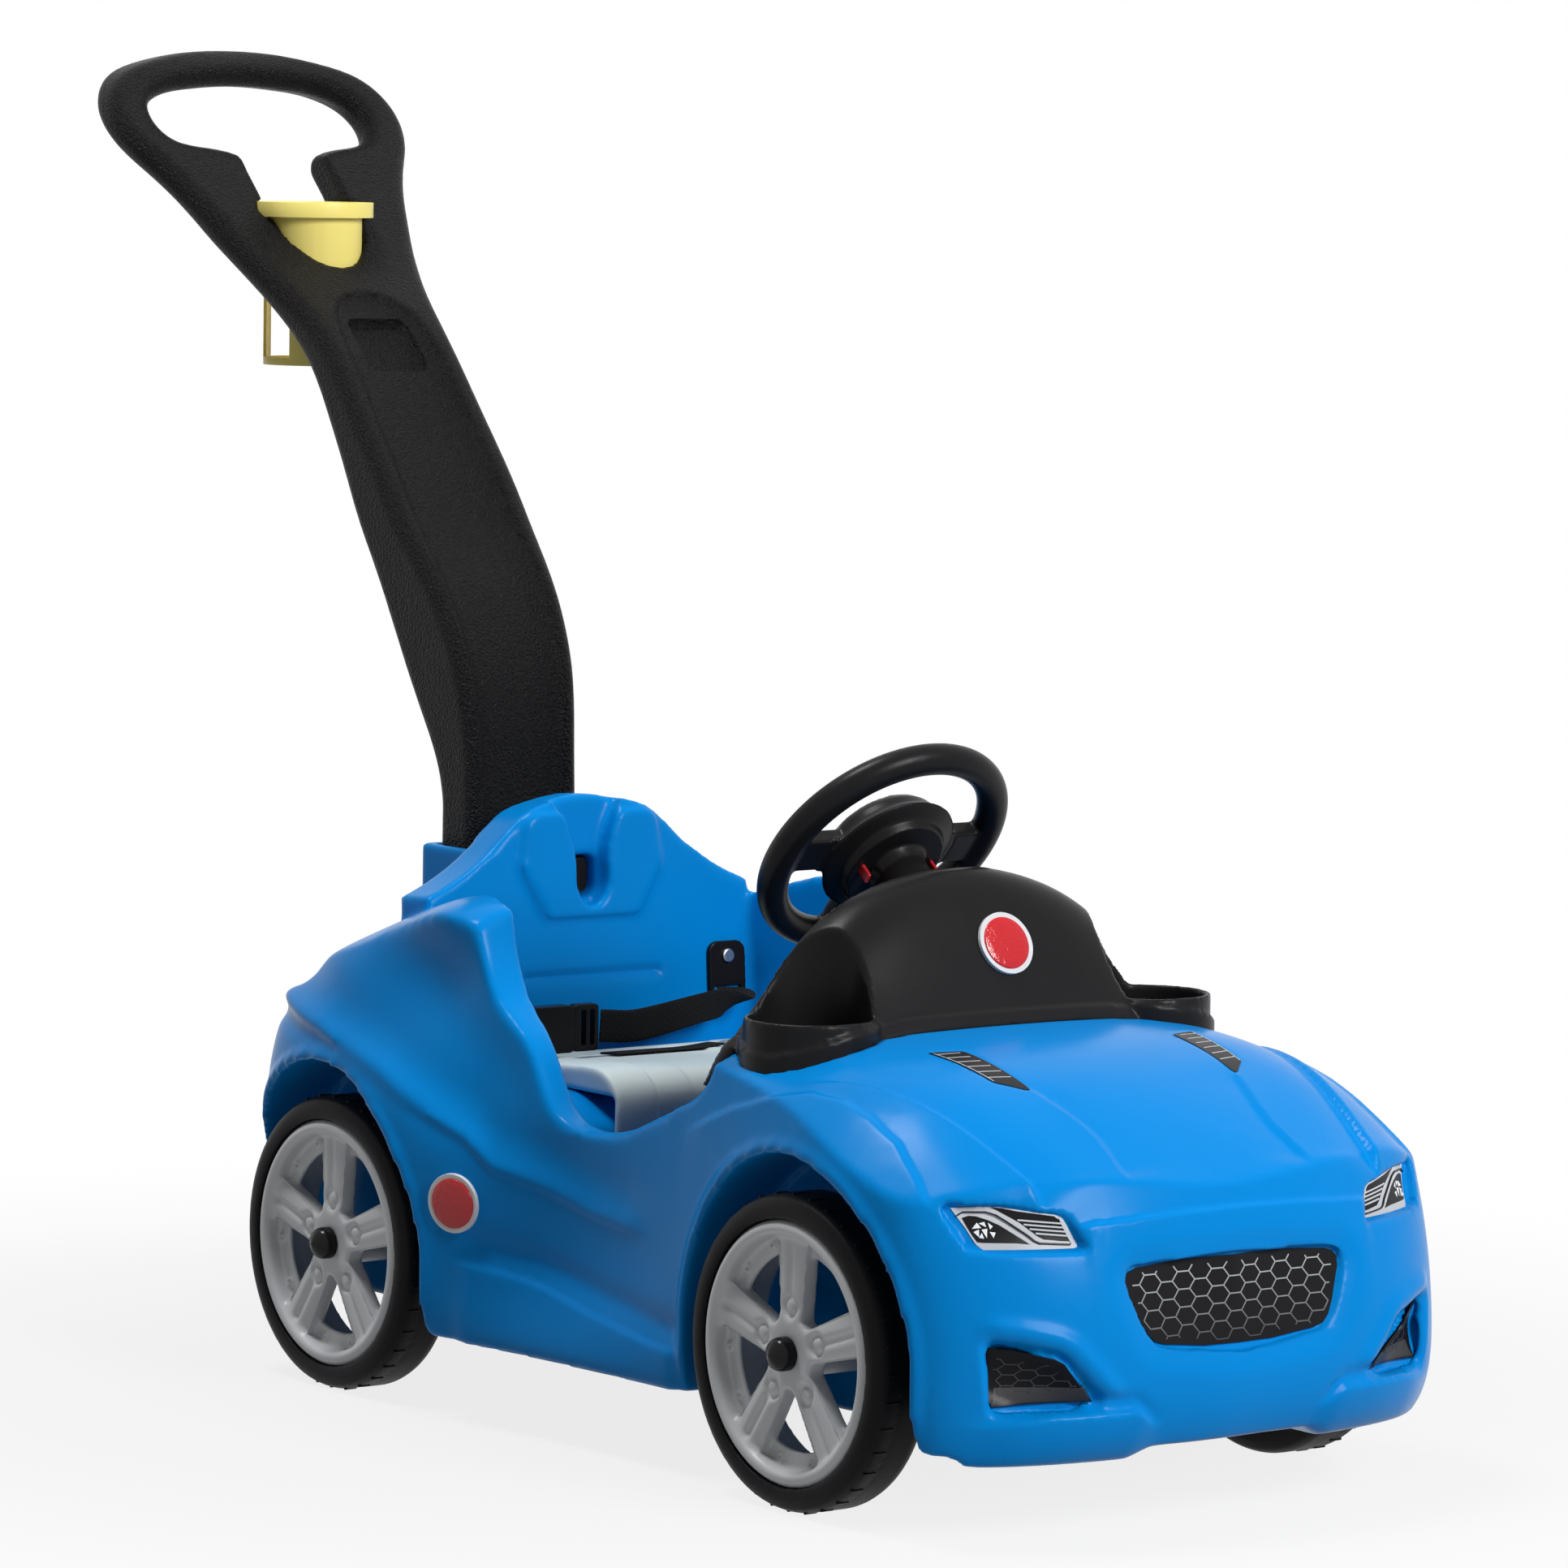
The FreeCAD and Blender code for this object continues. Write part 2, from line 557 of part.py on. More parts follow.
# Handle socket behind the seat back, with a housing for the release button.
socket_x = s["tongue_half_width"] + s["socket_wall"]
socket_front = s["tongue_front"] - s["socket_wall"]
socket_back = s["tongue_front"] + s["tongue_thick"] + s["socket_wall"]
sleeve = slab(-socket_x, socket_x, socket_front, socket_back, s["socket_floor"] - wall, s["socket_top"])
block = slab(-socket_x, socket_x, s["back_front"] + s["back_thick"] * half, socket_back,
             s["block_low"], s["socket_top"])
socket = soft_corners(sleeve.fuse(block).removeSplitter(), s["socket_wall"] * half, UP)
tongue_space = slab(-s["tongue_half_width"] - fit, s["tongue_half_width"] + fit, s["tongue_front"] - fit,
                    s["tongue_front"] + s["tongue_thick"] + fit, s["socket_floor"], sky)
flange_x = s["button_half_width"] + s["button_flange_grow"] + fit
flange_room = slab(-flange_x, flange_x, s["button_flange_at"] - fit, socket_front, s["block_low"] - wall,
                   s["slot_high"])
nose_slot = bottomed_slot(s["slot_half_width"], s["slot_low"], s["slot_high"], s["back_front"],
                          s["button_flange_at"])
tail_hole = Part.makeCylinder(s["button_tail_radius"] + fit, s["tongue_thick"],
                              V(0, socket_front - wall, s["button_centre"]), ALONG)

# Cockpit: foot space, seat step and the hole that the dashboard covers.
step = [V(-s["tub_half_width"], -s["tub_front"], 0), V(s["tub_half_width"], -s["tub_front"], 0),
        V(s["tub_half_width"], s["seat_front"], 0),
        V(s["tub_rear_half_width"], s["back_front"], 0),
        V(-s["tub_rear_half_width"], s["back_front"], 0),
        V(-s["tub_half_width"], s["seat_front"], 0)]


def cockpit():
    """The space inside the cockpit: seat, legs and toes."""
    seat = prism(step, UP * sky)
    seat.translate(UP * s["seat_height"])
    legs = slab(-s["tub_half_width"], s["tub_half_width"], -s["tub_front"], s["seat_front"],
                s["tub_floor"], sky)
    legs = soft_corners(legs, s["tub_corner"], UP)
    toes = slab(-s["toe_half_width"], s["toe_half_width"], -s["toe_front"], s["seat_front"],
                s["tub_floor"], s["toe_roof"])
    toes = soft_corners(toes, s["tub_corner"], ALONG)
    return seat.fuse([legs, toes])


def dash_space(shrink):
    """The hole in the hood that the dashboard stands over."""
    return slab(-s["tub_half_width"] + shrink, s["tub_half_width"] - shrink, -s["dash_hole_front"] + shrink,
                -s["tub_front"] + s["tub_corner"], s["dash_hole_floor"], sky)


def cup_tube(radius, low, high):
    """A pair of upright round tubes or holes at the two cup wells of the dashboard."""
    tubes = [Part.makeCylinder(radius, high - low, V(side * s["well_cup_x"], -s["well_cup_y"], low))
             for side in (-1, 1)]
    return Part.makeCompound(tubes)


front_of_back = leaned(slab(-width, width, -nose, 0, foot_z, sky))
seat_clear = slab(-s["tub_rear_half_width"], s["tub_rear_half_width"], s["seat_front"], tail,
                  s["seat_height"], sky).common(front_of_back)
cup_outer = s["well_cup_radius"] + s["well_cup_wall"]
cup_base = s["well_cup_floor"] - s["well_cup_wall"]
door = [V(-width * double, reach(y), z * height) for y, z in door_shares]
door_top = [V(-width * double, door[-1].y, sky), V(-width * double, door[0].y, sky)]
doors = smooth_prism(door, door_top, ACROSS * width * double * double)


def wheel_well(y, side):
    """A round-topped wheel arch, open below and outwards."""
    near = side * s["well_inner"]
    far = side * (s["well_inner"] + width)
    radius = s["well_radius"]
    arch_round = Part.makeCylinder(radius, abs(far - near), V(near, y, s["tyre_radius"]), ACROSS * side)
    low = slab(min(near, far), max(near, far), y - radius, y + radius, -s["underside"], s["tyre_radius"])
    return arch_round.fuse(low)


wells = [wheel_well(y, side) for y in (-axle_y, axle_y) for side in (-1, 1)]
axle_holes = [Part.makeCylinder(s["bush_radius"] + fit * half, width * double,
                                V(-width, y, s["tyre_radius"]), ACROSS) for y in (-axle_y, axle_y)]


def front_prism(shares, side=1):
    """Push an outline on the nose straight in to the depth of a sticker pocket."""
    points = [V(side * x * width, -nose - wall, z * height) for x, z in shares]
    return prism(points, ALONG * nose * quarter)


pocket_floor = hull_sides(s["pocket_depth"])
pockets = [front_prism(grille_shares)]
for side in (-1, 1):
    pockets.append(front_prism(lamp_shares, side))
    pockets.append(front_prism(fog_shares, side))
pockets = [item.cut(pocket_floor) for item in pockets]
belly = slab(-width * double, width * double, -s["lip_back"], tail * double, -s["underside"], s["underside"])

channel_x = s["well_inner"] - wall * third * double * double
channel_y = s["bush_flange"] + wall
channels = [slab(-channel_x, channel_x, y - channel_y, y + channel_y, 0, s["tyre_radius"] + channel_y)
            for y in (-axle_y, axle_y)]
shell = hull.fuse([back, socket])
tub = cockpit().cut(slab(-width, width, s["back_front"], tail, 0, sky))
chin = front_prism(chin_shares)
shell = shell.cut([tub, seat_clear.cut(back), dash_space(0.0), doors, belly, chin])
shell = shell.cut(wells + pockets + axle_holes + channels)
shell = shell.cut([scoop, lumbar, tongue_space, flange_room, nose_slot, tail_hole])
shell = shell.cut(cup_tube(cup_outer + fit, cup_base - fit, sky))
keep("body_shell", solid("BodyShell", shell))

# Dashboard: a domed cowl that sits on the hood, with a cup well on each side.
def dash_dome(inset):
    """Loft the cowl's level outlines; inset draws the loft inwards all round."""
    wires = []
    rise = s["dash_top"] - s["dash_low"]
    for z_share, w_share, d_share, power in dash_shares:
        z = s["dash_low"] + z_share * (rise - inset)
        rear = -s["dash_rear"] - s["dash_lean"] * z_share - inset
        half_w = w_share * s["dash_half_width"] - inset
        deep = d_share * s["dash_depth"] - inset * double
        points = []
        for i in range(dash_steps + 1):
            angle = math.pi * i / dash_steps
            c, q = math.cos(angle), math.sin(angle)
            points.append(V(math.copysign(abs(c) ** (double / power), c) * half_w,
                            rear - deep * abs(q) ** (double / power), z))
        curve = Part.BSplineCurve()
        curve.interpolate(Points=points)
        wires.append(Part.Wire([curve.toShape(), Part.makeLine(points[-1], points[0])]))
    return Part.makeLoft(wires, True, False)


def on_column(distance):
    """A point on the steering column, measured forwards from the steering wheel's middle."""
    tilt = math.radians(s["wheel_tilt"])
    return V(0, -s["wheel_y"] - distance * math.cos(tilt), s["wheel_z"] - distance * math.sin(tilt))


dome = dash_dome(0.0)
seat_on = hull.cut([doors, dash_space(s["dash_gap"])])
seat_on.translate(UP * s["dash_gap"])
column_way = on_column(s["boss_far"]) - on_column(0)
boss = Part.makeCylinder(s["boss_radius"], s["boss_far"] - s["boss_near"],
                         on_column(s["boss_near"]), column_way)
bore = Part.makeCylinder(s["column_radius"] + s["run_gap"], s["boss_far"] * double, on_column(0), column_way)
tall = cup_tube(cup_outer, cup_base, s["dash_top"]).common(dome)
low_tube = cup_tube(cup_outer, cup_base, s["well_cup_top"])
dash = dome.cut([seat_on, dash_dome(s["dash_wall"])])
dash = dash.fuse([tall, low_tube, boss.common(slab(-width, width, -nose, 0, s["dash_low"], sky))])
dash = dash.cut([cup_tube(s["well_cup_radius"], s["well_cup_floor"], sky), bore])
solids = sorted(dash.Solids, key=lambda item: item.Volume)
keep("dashboard", solid("Dashboard", solids[-1]))

# Seat panel: a moulded plate with a rolled front edge and a skirt that stands on the seat step.
seat_long = s["back_front"] - s["seat_front"]
seat_curve = [V(-s["panel_half_width"], s["seat_front"] + y * seat_long,
                s["seat_height"] + z * s["panel_lip"]) for y, z in seat_shares]
lip_in = s["seat_front"] - fit
seat_base = s["seat_height"] + fit
seat_ends = [V(-s["panel_half_width"], lip_in, seat_curve[-1].z),
             V(-s["panel_half_width"], lip_in, seat_base),
             V(-s["panel_half_width"], seat_curve[0].y, seat_base)]
seat = smooth_prism(seat_curve, seat_ends, ACROSS * s["panel_half_width"] * double)
seat_core = seat.copy()
seat_core.translate(UP * -s["panel_thick"])
skirt_x = s["panel_half_width"] - s["panel_thick"]
seat_core = seat_core.common(slab(-skirt_x, skirt_x, s["seat_front"] + s["panel_thick"],
                                  seat_curve[0].y - s["panel_thick"], 0, sky))
side_edges = [e for e in seat.Edges if e.BoundBox.XLength < fit and e.BoundBox.YLength > seat_long * half
              and e.BoundBox.ZLength > s["panel_lip"] * quarter]
seat = seat.makeFillet(s["panel_round"], side_edges).cut(seat_core)


def panel_top(y):
    """Height of the seat panel's top face at a distance along the car."""
    return seat.common(Part.makeLine(V(0, y, 0), V(0, y, sky))).BoundBox.ZMax


keep("seat_panel", solid("SeatPanel", seat))

# Wheels: a five-spoke plastic rim in a hollow tyre, turning on a steel axle in nylon bushes.
def wheel_body(name, side, y):
    """Start a body whose Z axis points out of the car along the axle, from the wheel's outer face."""
    body = doc.addObject("PartDesign::Body", name)
    turn = turns["X"] if side > 0 else turns["-X"]
    across = "track_half" if side > 0 else "0 - track_half"
    return place(body, across, y, "tyre_radius", turn)


def revolved(body, name, corners):
    """Turn a profile of radius and height pairs about the body's Z axis."""
    sketch = outline(sketch_on(body, name + "Sketch", "XZ_Plane"), corners)
    feature = body.newObject("PartDesign::Revolution", name)
    feature.Profile = sketch
    feature.ReferenceAxis = (sketch, ["V_Axis"])
    feature.Angle = full_turn
    return feature


def rim(name, side, y):
    body = wheel_body(name, side, y)
    edge = "tyre_radius - tyre_depth - run_gap"
    revolved(body, name + "Barrel", [
        (edge, "0 - tyre_width"), (edge, "0 - rim_lip"), (edge + " - rim_lip", "0 - run_gap"),
        (edge + " - rim_wall * rim_taper", "0 - run_gap"), (edge + " - rim_wall", "0 - rim_lip"),
        (edge + " - rim_wall", "0 - tyre_width")])
    hub = ring(sketch_on(body, name + "HubSketch", "XY_Plane", "0 - hub_inset"), "hub_radius * hub_flare")
    pad(body, name + "Hub", hub, "spoke_thick", True)
    tube = ring(sketch_on(body, name + "TubeSketch", "XY_Plane", "0 - hub_inset"), "hub_radius")
    pad(body, name + "Tube", tube, "hub_length", True)
    tip = "tyre_radius - tyre_depth - rim_wall * rim_taper"
    spoke = outline(sketch_on(body, name + "SpokeSketch", "XY_Plane", "0 - spoke_inset"), [
        ("hub_radius", "spoke_root"), ("hub_radius", "0 - spoke_root"),
        (tip, "0 - spoke_tip"), (tip, "spoke_tip")])
    spoke = pad(body, name + "Spoke", spoke, "spoke_thick", True)
    around(body, name + "Spokes", [spoke], spoke_count)
    near, far = "lug_circle + lug_radius / 2", tip + " - rim_lip"
    slot = outline(sketch_on(body, name + "SlotSketch", "XY_Plane", "0 - spoke_inset"), [
        (near, "spoke_groove / 2"), (near, "0 - spoke_groove / 2"),
        (far, "0 - spoke_groove / 2"), (far, "spoke_groove / 2")])
    slot = pocket(body, name + "Slot", slot, "groove_depth")
    around(body, name + "Slots", [slot], spoke_count)
    lug = sketch_on(body, name + "LugSketch", "XY_Plane", "0 - spoke_inset")
    lug = ring(lug, "lug_radius", "lug_circle")
    lug = pocket(body, name + "Lug", lug, "lug_depth")
    around(body, name + "Lugs", [lug], spoke_count)
    stud = sketch_on(body, name + "StudSketch", "XY_Plane", "0 - spoke_inset - boss_low")
    stud = ring(stud, "boss_round", "lug_circle")
    stud = pad(body, name + "Stud", stud, "lug_depth", True)
    around(body, name + "Studs", [stud], spoke_count)
    bore_ring = ring(sketch_on(body, name + "BoreSketch", "XY_Plane", "0"), "axle_radius + run_gap")
    body.Tip = pocket(body, name + "Bore", bore_ring, "hub_length * 2")
    return body


def tyre(name, side, y):
    body = wheel_body(name, side, y)
    inside = "tyre_radius - tyre_depth"
    tread = "tyre_radius - tread_groove"
    inner_edge = "0 - tyre_width"
    revolved(body, name + "Ring", [
        (inside, inner_edge), ("tyre_radius - tyre_round", inner_edge),
        ("tyre_radius - tyre_round * tyre_ease", inner_edge + " + tyre_round * tyre_ease"),
        ("tyre_radius", inner_edge + " + tyre_round"),
        ("tyre_radius", "0 - tyre_round * 2 - tread_groove"), (tread, "0 - tyre_round * 2 - tread_groove"),
        (tread, "0 - tyre_round * 2"), ("tyre_radius", "0 - tyre_round * 2"),
        ("tyre_radius", "0 - tyre_round"),
        ("tyre_radius - tyre_round * tyre_ease", "0 - tyre_round * tyre_ease"),
        ("tyre_radius - tyre_round", "0"), (inside, "0")])
    return body


corners = [("front_right", -1, "0 - wheelbase / 2"), ("front_left", 1, "0 - wheelbase / 2"),
           ("rear_right", -1, "wheelbase / 2"), ("rear_left", 1, "wheelbase / 2")]
for corner, side, y in corners:
    keep("rim_" + corner, rim("Rim" + corner.title().replace("_", ""), side, y))
    keep("tyre_" + corner, tyre("Tyre" + corner.title().replace("_", ""), side, y))
    turn = turns["X"] if side > 0 else turns["-X"]
    mark = "" if side > 0 else "0 - "
    tag = corner.title().replace("_", "")
    cap = doc.addObject("PartDesign::Body", "HubCap" + tag)
    place(cap, mark + "track_half", y, "tyre_radius", turn)
    low = "0 - hub_inset + seat_gap"
    high = "cap_proud"
    revolved(cap, "Dome" + tag, [
        ("axle_radius + run_gap", low), ("cap_radius", low), ("cap_radius", high + " - cap_wall * cap_drop"),
        ("cap_radius * cap_brow", high + " - cap_wall / 2"), ("cap_radius * cap_crown", high), ("0", high),
        ("0", "axle_end + run_gap"), ("axle_radius + run_gap", "axle_end + run_gap")])
    keep("hub_cap_" + corner, cap)
    bush = doc.addObject("PartDesign::Body", "Bush" + tag)
    place(bush, mark + "well_inner", y, "tyre_radius", turn)
    revolved(bush, "Sleeve" + tag, [
        ("axle_radius + run_gap", "0 - body_wall * 3"), ("bush_radius", "0 - body_wall * 3"),
        ("bush_radius", "seat_gap"),
        ("bush_flange", "seat_gap"), ("bush_flange", "seat_gap + bush_flange_thick"),
        ("axle_radius + run_gap", "seat_gap + bush_flange_thick")])
    keep("bush_" + corner, bush)
for name, y in (("front_axle", "0 - wheelbase / 2"), ("rear_axle", "wheelbase / 2")):
    rod = cylinder(name.title().replace("_", ""), "axle_radius", "track_half * 2 + axle_end * 2",
                   "0 - track_half - axle_end", y, "tyre_radius", turns["X"])
    keep(name, rod)


# Steering: the wheel and its column turn together in the dashboard's boss.
def steered(name):
    """A body whose Z axis runs up the steering column, from the steering wheel's middle."""
    body = doc.addObject("PartDesign::Body", name)
    body.Placement = FreeCAD.Placement(ZERO, FreeCAD.Rotation(ACROSS, -(right_angle - s["wheel_tilt"])))
    body.setExpression("Placement.Base.y", bound("0 - wheel_y"))
    body.setExpression("Placement.Base.z", bound("wheel_z"))
    return body


def primitive(body, kind, name, at, sizes):
    """Add or take away a simple solid whose sizes and position are bound to the sheet."""
    feature = body.newObject("PartDesign::" + kind, name)
    for prop, text in sizes.items():
        feature.setExpression(prop, bound(text))
    for axis, text in zip("xyz", at):
        feature.setExpression("Placement.Base." + axis, bound(text))
    return feature


wheel = steered("SteeringWheel")
primitive(wheel, "AdditiveTorus", "WheelRim", ("0", "0", "0"),
          {"Radius1": "wheel_radius - wheel_tube", "Radius2": "wheel_tube"})
primitive(wheel, "AdditiveCylinder", "WheelHub", ("0", "0", "0 - wheel_hub_back"),
          {"Radius": "wheel_hub_radius", "Height": "wheel_hub_back + wheel_hub_front"})
primitive(wheel, "AdditiveBox", "WheelArms",
          ("wheel_tube - wheel_radius", "0 - wheel_spoke_half", "0 - wheel_spoke_thick / 2"),
          {"Length": "wheel_radius * 2 - wheel_tube * 2", "Width": "wheel_spoke_half * 2",
           "Height": "wheel_spoke_thick"})
primitive(wheel, "AdditiveBox", "WheelLeg", ("0 - wheel_spoke_half", "0", "0 - wheel_spoke_thick / 2"),
          {"Length": "wheel_spoke_half * 2", "Width": "wheel_radius - wheel_tube",
           "Height": "wheel_spoke_thick"})
primitive(wheel, "AdditiveCylinder", "WheelNeck", ("0", "0", "0 - wheel_neck_back"),
          {"Radius": "wheel_neck_radius", "Height": "wheel_neck_back - wheel_hub_wall"})
floor = "horn_travel + horn_thick + column_head_thick * 2"
primitive(wheel, "SubtractiveCylinder", "HornRoom",
          ("0", "0", "wheel_hub_front - " + floor.replace("+", "-")),
          {"Radius": "horn_radius + seat_gap", "Height": floor + " + wheel_hub_front"})
primitive(wheel, "SubtractiveCylinder", "ColumnHole", ("0", "0", "0 - wheel_neck_back * 2"),
          {"Radius": "column_radius + run_gap", "Height": "wheel_neck_back * 3"})
for side, mark in (("Left", "horn_leg_at"), ("Right", "0 - horn_leg_at")):
    primitive(wheel, "SubtractiveBox", "LegSlot" + side,
              (mark + " - horn_leg_thick / 2 - seat_gap", "0 - horn_leg_half - seat_gap",
               "0 - wheel_hub_back * 2"),
              {"Length": "horn_leg_thick + seat_gap * 2", "Width": "horn_leg_half * 2 + seat_gap * 2",
               "Height": "wheel_hub_back * 2"})
keep("steering_wheel", wheel)

column = steered("SteeringColumn")
head = "wheel_hub_front - horn_travel - horn_thick - column_head_thick * 2 + seat_gap"
primitive(column, "AdditiveCylinder", "ColumnHead", ("0", "0", head),
          {"Radius": "column_head", "Height": "column_head_thick"})
primitive(column, "AdditiveCylinder", "ColumnRod", ("0", "0", "0 - boss_far - clip_thick * 3"),
          {"Radius": "column_radius", "Height": "boss_far + clip_thick * 3 + " + head})
keep("steering_column", column)

clip = steered("ColumnClip")
primitive(clip, "AdditiveCylinder", "ClipDisc", ("0", "0", "0 - boss_far - seat_gap - clip_thick"),
          {"Radius": "clip_radius", "Height": "clip_thick"})
primitive(clip, "SubtractiveCylinder", "ClipHole", ("0", "0", "0 - boss_far * 2"),
          {"Radius": "column_radius + run_gap", "Height": "boss_far * 2"})
keep("column_clip", clip)

horn = steered("HornButton")
primitive(horn, "AdditiveCylinder", "HornDisc", ("0", "0", "wheel_hub_front + horn_proud - horn_thick"),
          {"Radius": "horn_radius", "Height": "horn_thick"})
for side, mark in (("Left", "horn_leg_at"), ("Right", "0 - horn_leg_at")):
    primitive(horn, "AdditiveBox", "HornLeg" + side,
              (mark + " - horn_leg_thick / 2", "0 - horn_leg_half", "0 - wheel_hub_back - horn_leg_out"),
              {"Length": "horn_leg_thick", "Width": "horn_leg_half * 2",
               "Height": "wheel_hub_back + horn_leg_out + wheel_hub_front"})
keep("horn_button", horn)


def coil(name, radius, length, placement):
    """A closed coil of round wire, standing on the placement's Z axis."""
    wire = s["spring_wire"]
    pitch = (length - wire) / s["spring_turns"]
    helix = Part.makeHelix(pitch, pitch * s["spring_turns"], radius)
    helix.translate(UP * wire * half)
    start = helix.Edges[0].valueAt(helix.Edges[0].FirstParameter)
    section = Part.Wire([Part.makeCircle(wire * half, start, ALONG)])
    shape = Part.Wire(helix.Edges).makePipeShell([section], True, True)
    shape.Placement = placement
    return solid(name, shape)


head_top = s["wheel_hub_front"] - s["horn_travel"] - s["horn_thick"] - s["column_head_thick"] + fit * double
horn_low = s["wheel_hub_front"] + s["horn_proud"] - s["horn_thick"]
upright = FreeCAD.Rotation(ACROSS, -(right_angle - s["wheel_tilt"]))
keep("horn_spring", coil("HornSpring", s["column_head"] * third * double, horn_low - head_top - fit,
                         FreeCAD.Placement(on_column(-head_top), upright)))

# Push handle: a deep moulded arm that rises from the socket and opens into a grip loop.
arm_front = [V(0, y * s["handle_reach"], z * s["handle_top"]) for y, z in arm_front_shares]
arm_back = [V(0, y * s["handle_reach"], z * s["handle_top"]) for y, z in arm_back_shares]
arm_low = [V(0, s["tongue_front"] + s["tongue_thick"], s["tongue_low"]),
           V(0, s["tongue_front"], s["tongue_low"])]


def arm_side(shift):
    """The arm's side view, pushed across the car; shift moves it rearwards."""
    front_curve = Part.BSplineCurve()
    front_curve.interpolate(Points=arm_front)
    back_curve = Part.BSplineCurve()
    back_curve.interpolate(Points=arm_back)
    edges = [front_curve.toShape(), back_curve.toShape(), Part.makeLine(arm_back[-1], arm_low[0]),
             Part.makeLine(arm_low[0], arm_low[1]), Part.makeLine(arm_low[1], arm_front[0])]
    body = Part.Face(Part.Wire(edges)).extrude(ACROSS * s["handle_half_width"] * double * double)
    body.translate(V(-s["handle_half_width"] * double, shift, 0))
    return body


def front_view(shares, closing):
    """An outline seen from the front, mirrored about the middle and pushed along the car."""
    side_points = [V(x * s["handle_half_width"], 0, z * s["handle_top"]) for x, z in shares]
    points = [V(-p.x, 0, p.z) for p in reversed(side_points)] + side_points
    if shares[0][0] == 0.0:
        points = [V(-p.x, 0, p.z) for p in reversed(side_points[1:])] + side_points
    if closing:
        return smooth_prism(points, [], ALONG * sky)
    curve = Part.BSplineCurve()
    curve.interpolate(Points=points[:-1] if points[0] == points[-1] else points, PeriodicFlag=True)
    return Part.Face(Part.Wire([curve.toShape()])).extrude(ALONG * sky)


arm = arm_side(0.0).common(front_view(arm_wide_shares, True)).Solids[0]
rising = [e for e in arm.Edges if e.BoundBox.ZMax > s["cup_rim_top"]]
arm = arm.makeFillet(s["arm_round"], rising).cut(front_view(loop_shares, False)).Solids[0]
grip_rims = [e for e in arm.Edges if e.isClosed() and e.BoundBox.ZMin > s["cup_rim_top"]]
arm = arm.makeFillet(s["loop_round"], grip_rims)
mouth = slab(-s["cup_radius"] - fit, s["cup_radius"] + fit, 0, sky, s["cup_rim_top"] - s["cup_rim_thick"],
             s["cup_rim_top"] + s["loop_tube"] * double)
mouth_low = V(0, 0, s["cup_rim_top"] - s["cup_rim_thick"])
mouth = mouth.fuse(Part.makeCylinder(s["cup_radius"] + fit, sky, mouth_low, ALONG))
cup_axis = V(0, s["cup_centre"], 0)
rim_seat = Part.makeCylinder(s["cup_rim_radius"] + fit, s["cup_rim_thick"] + fit * double,
                             cup_axis + UP * (s["cup_rim_top"] - s["cup_rim_thick"] - fit))
cup_way = Part.makeCylinder(s["cup_radius"] + fit, s["cup_rim_top"] - s["cup_low"] + wall,
                            cup_axis + UP * (s["cup_low"] - wall))
long_panel = front_view(panel_shares, True).common(arm_side(0.0)).cut(arm_side(s["panel_depth"] * double))
groove = slab(-s["tail_groove_half_width"], s["tail_groove_half_width"], s["tongue_front"] - wall,
              s["tongue_front"] + s["tail_groove_depth"], 0, s["tail_groove_top"])
arm = arm.cut([mouth, rim_seat, cup_way, long_panel, groove])
keep("push_handle", solid("PushHandle", arm))

# Release button: it shows in the slot of the seat back and is pressed rearwards.
button = doc.addObject("PartDesign::Body", "HandleButton")
nose_box = primitive(button, "AdditiveBox", "ButtonNose",
                     ("0 - button_half_width", "button_nose", "button_centre - button_height / 2"),
                     {"Length": "button_half_width * 2", "Width": "button_flange_at - button_nose",
                      "Height": "button_height"})
doc.recompute()
rounding = button.newObject("PartDesign::Fillet", "ButtonCorners")
along_edges = ["Edge%d" % i for i, e in enumerate(nose_box.Shape.Edges, 1)
               if abs(e.tangentAt(e.FirstParameter).dot(ALONG)) > aligned]
rounding.Base = (nose_box, along_edges)
rounding.setExpression("Radius", bound("button_corner"))
primitive(button, "AdditiveBox", "ButtonFlange",
          ("0 - button_half_width - button_flange_grow", "button_flange_at",
           "button_centre - button_height / 2 - button_flange_grow"),
          {"Length": "button_half_width * 2 + button_flange_grow * 2", "Width": "button_flange_thick",
           "Height": "button_height + button_flange_grow"})
tail_rod = button.newObject("PartDesign::AdditiveCylinder", "ButtonTail")
tail_rod.setExpression("Radius", bound("button_tail_radius"))
tail_rod.setExpression("Height", bound("tongue_front - button_flange_at - run_gap * 10"))
place(tail_rod, "0", "button_flange_at", "button_centre", turns["Y"])
keep("handle_button", button)
coil_at = s["button_flange_at"] + s["button_flange_thick"] + fit
coil_place = FreeCAD.Placement(V(0, coil_at, s["button_centre"]), turns["Y"])
keep("button_spring", coil("ButtonSpring", s["button_tail_radius"] + s["spring_wire"] * double,
                           socket_front - coil_at - fit, coil_place))

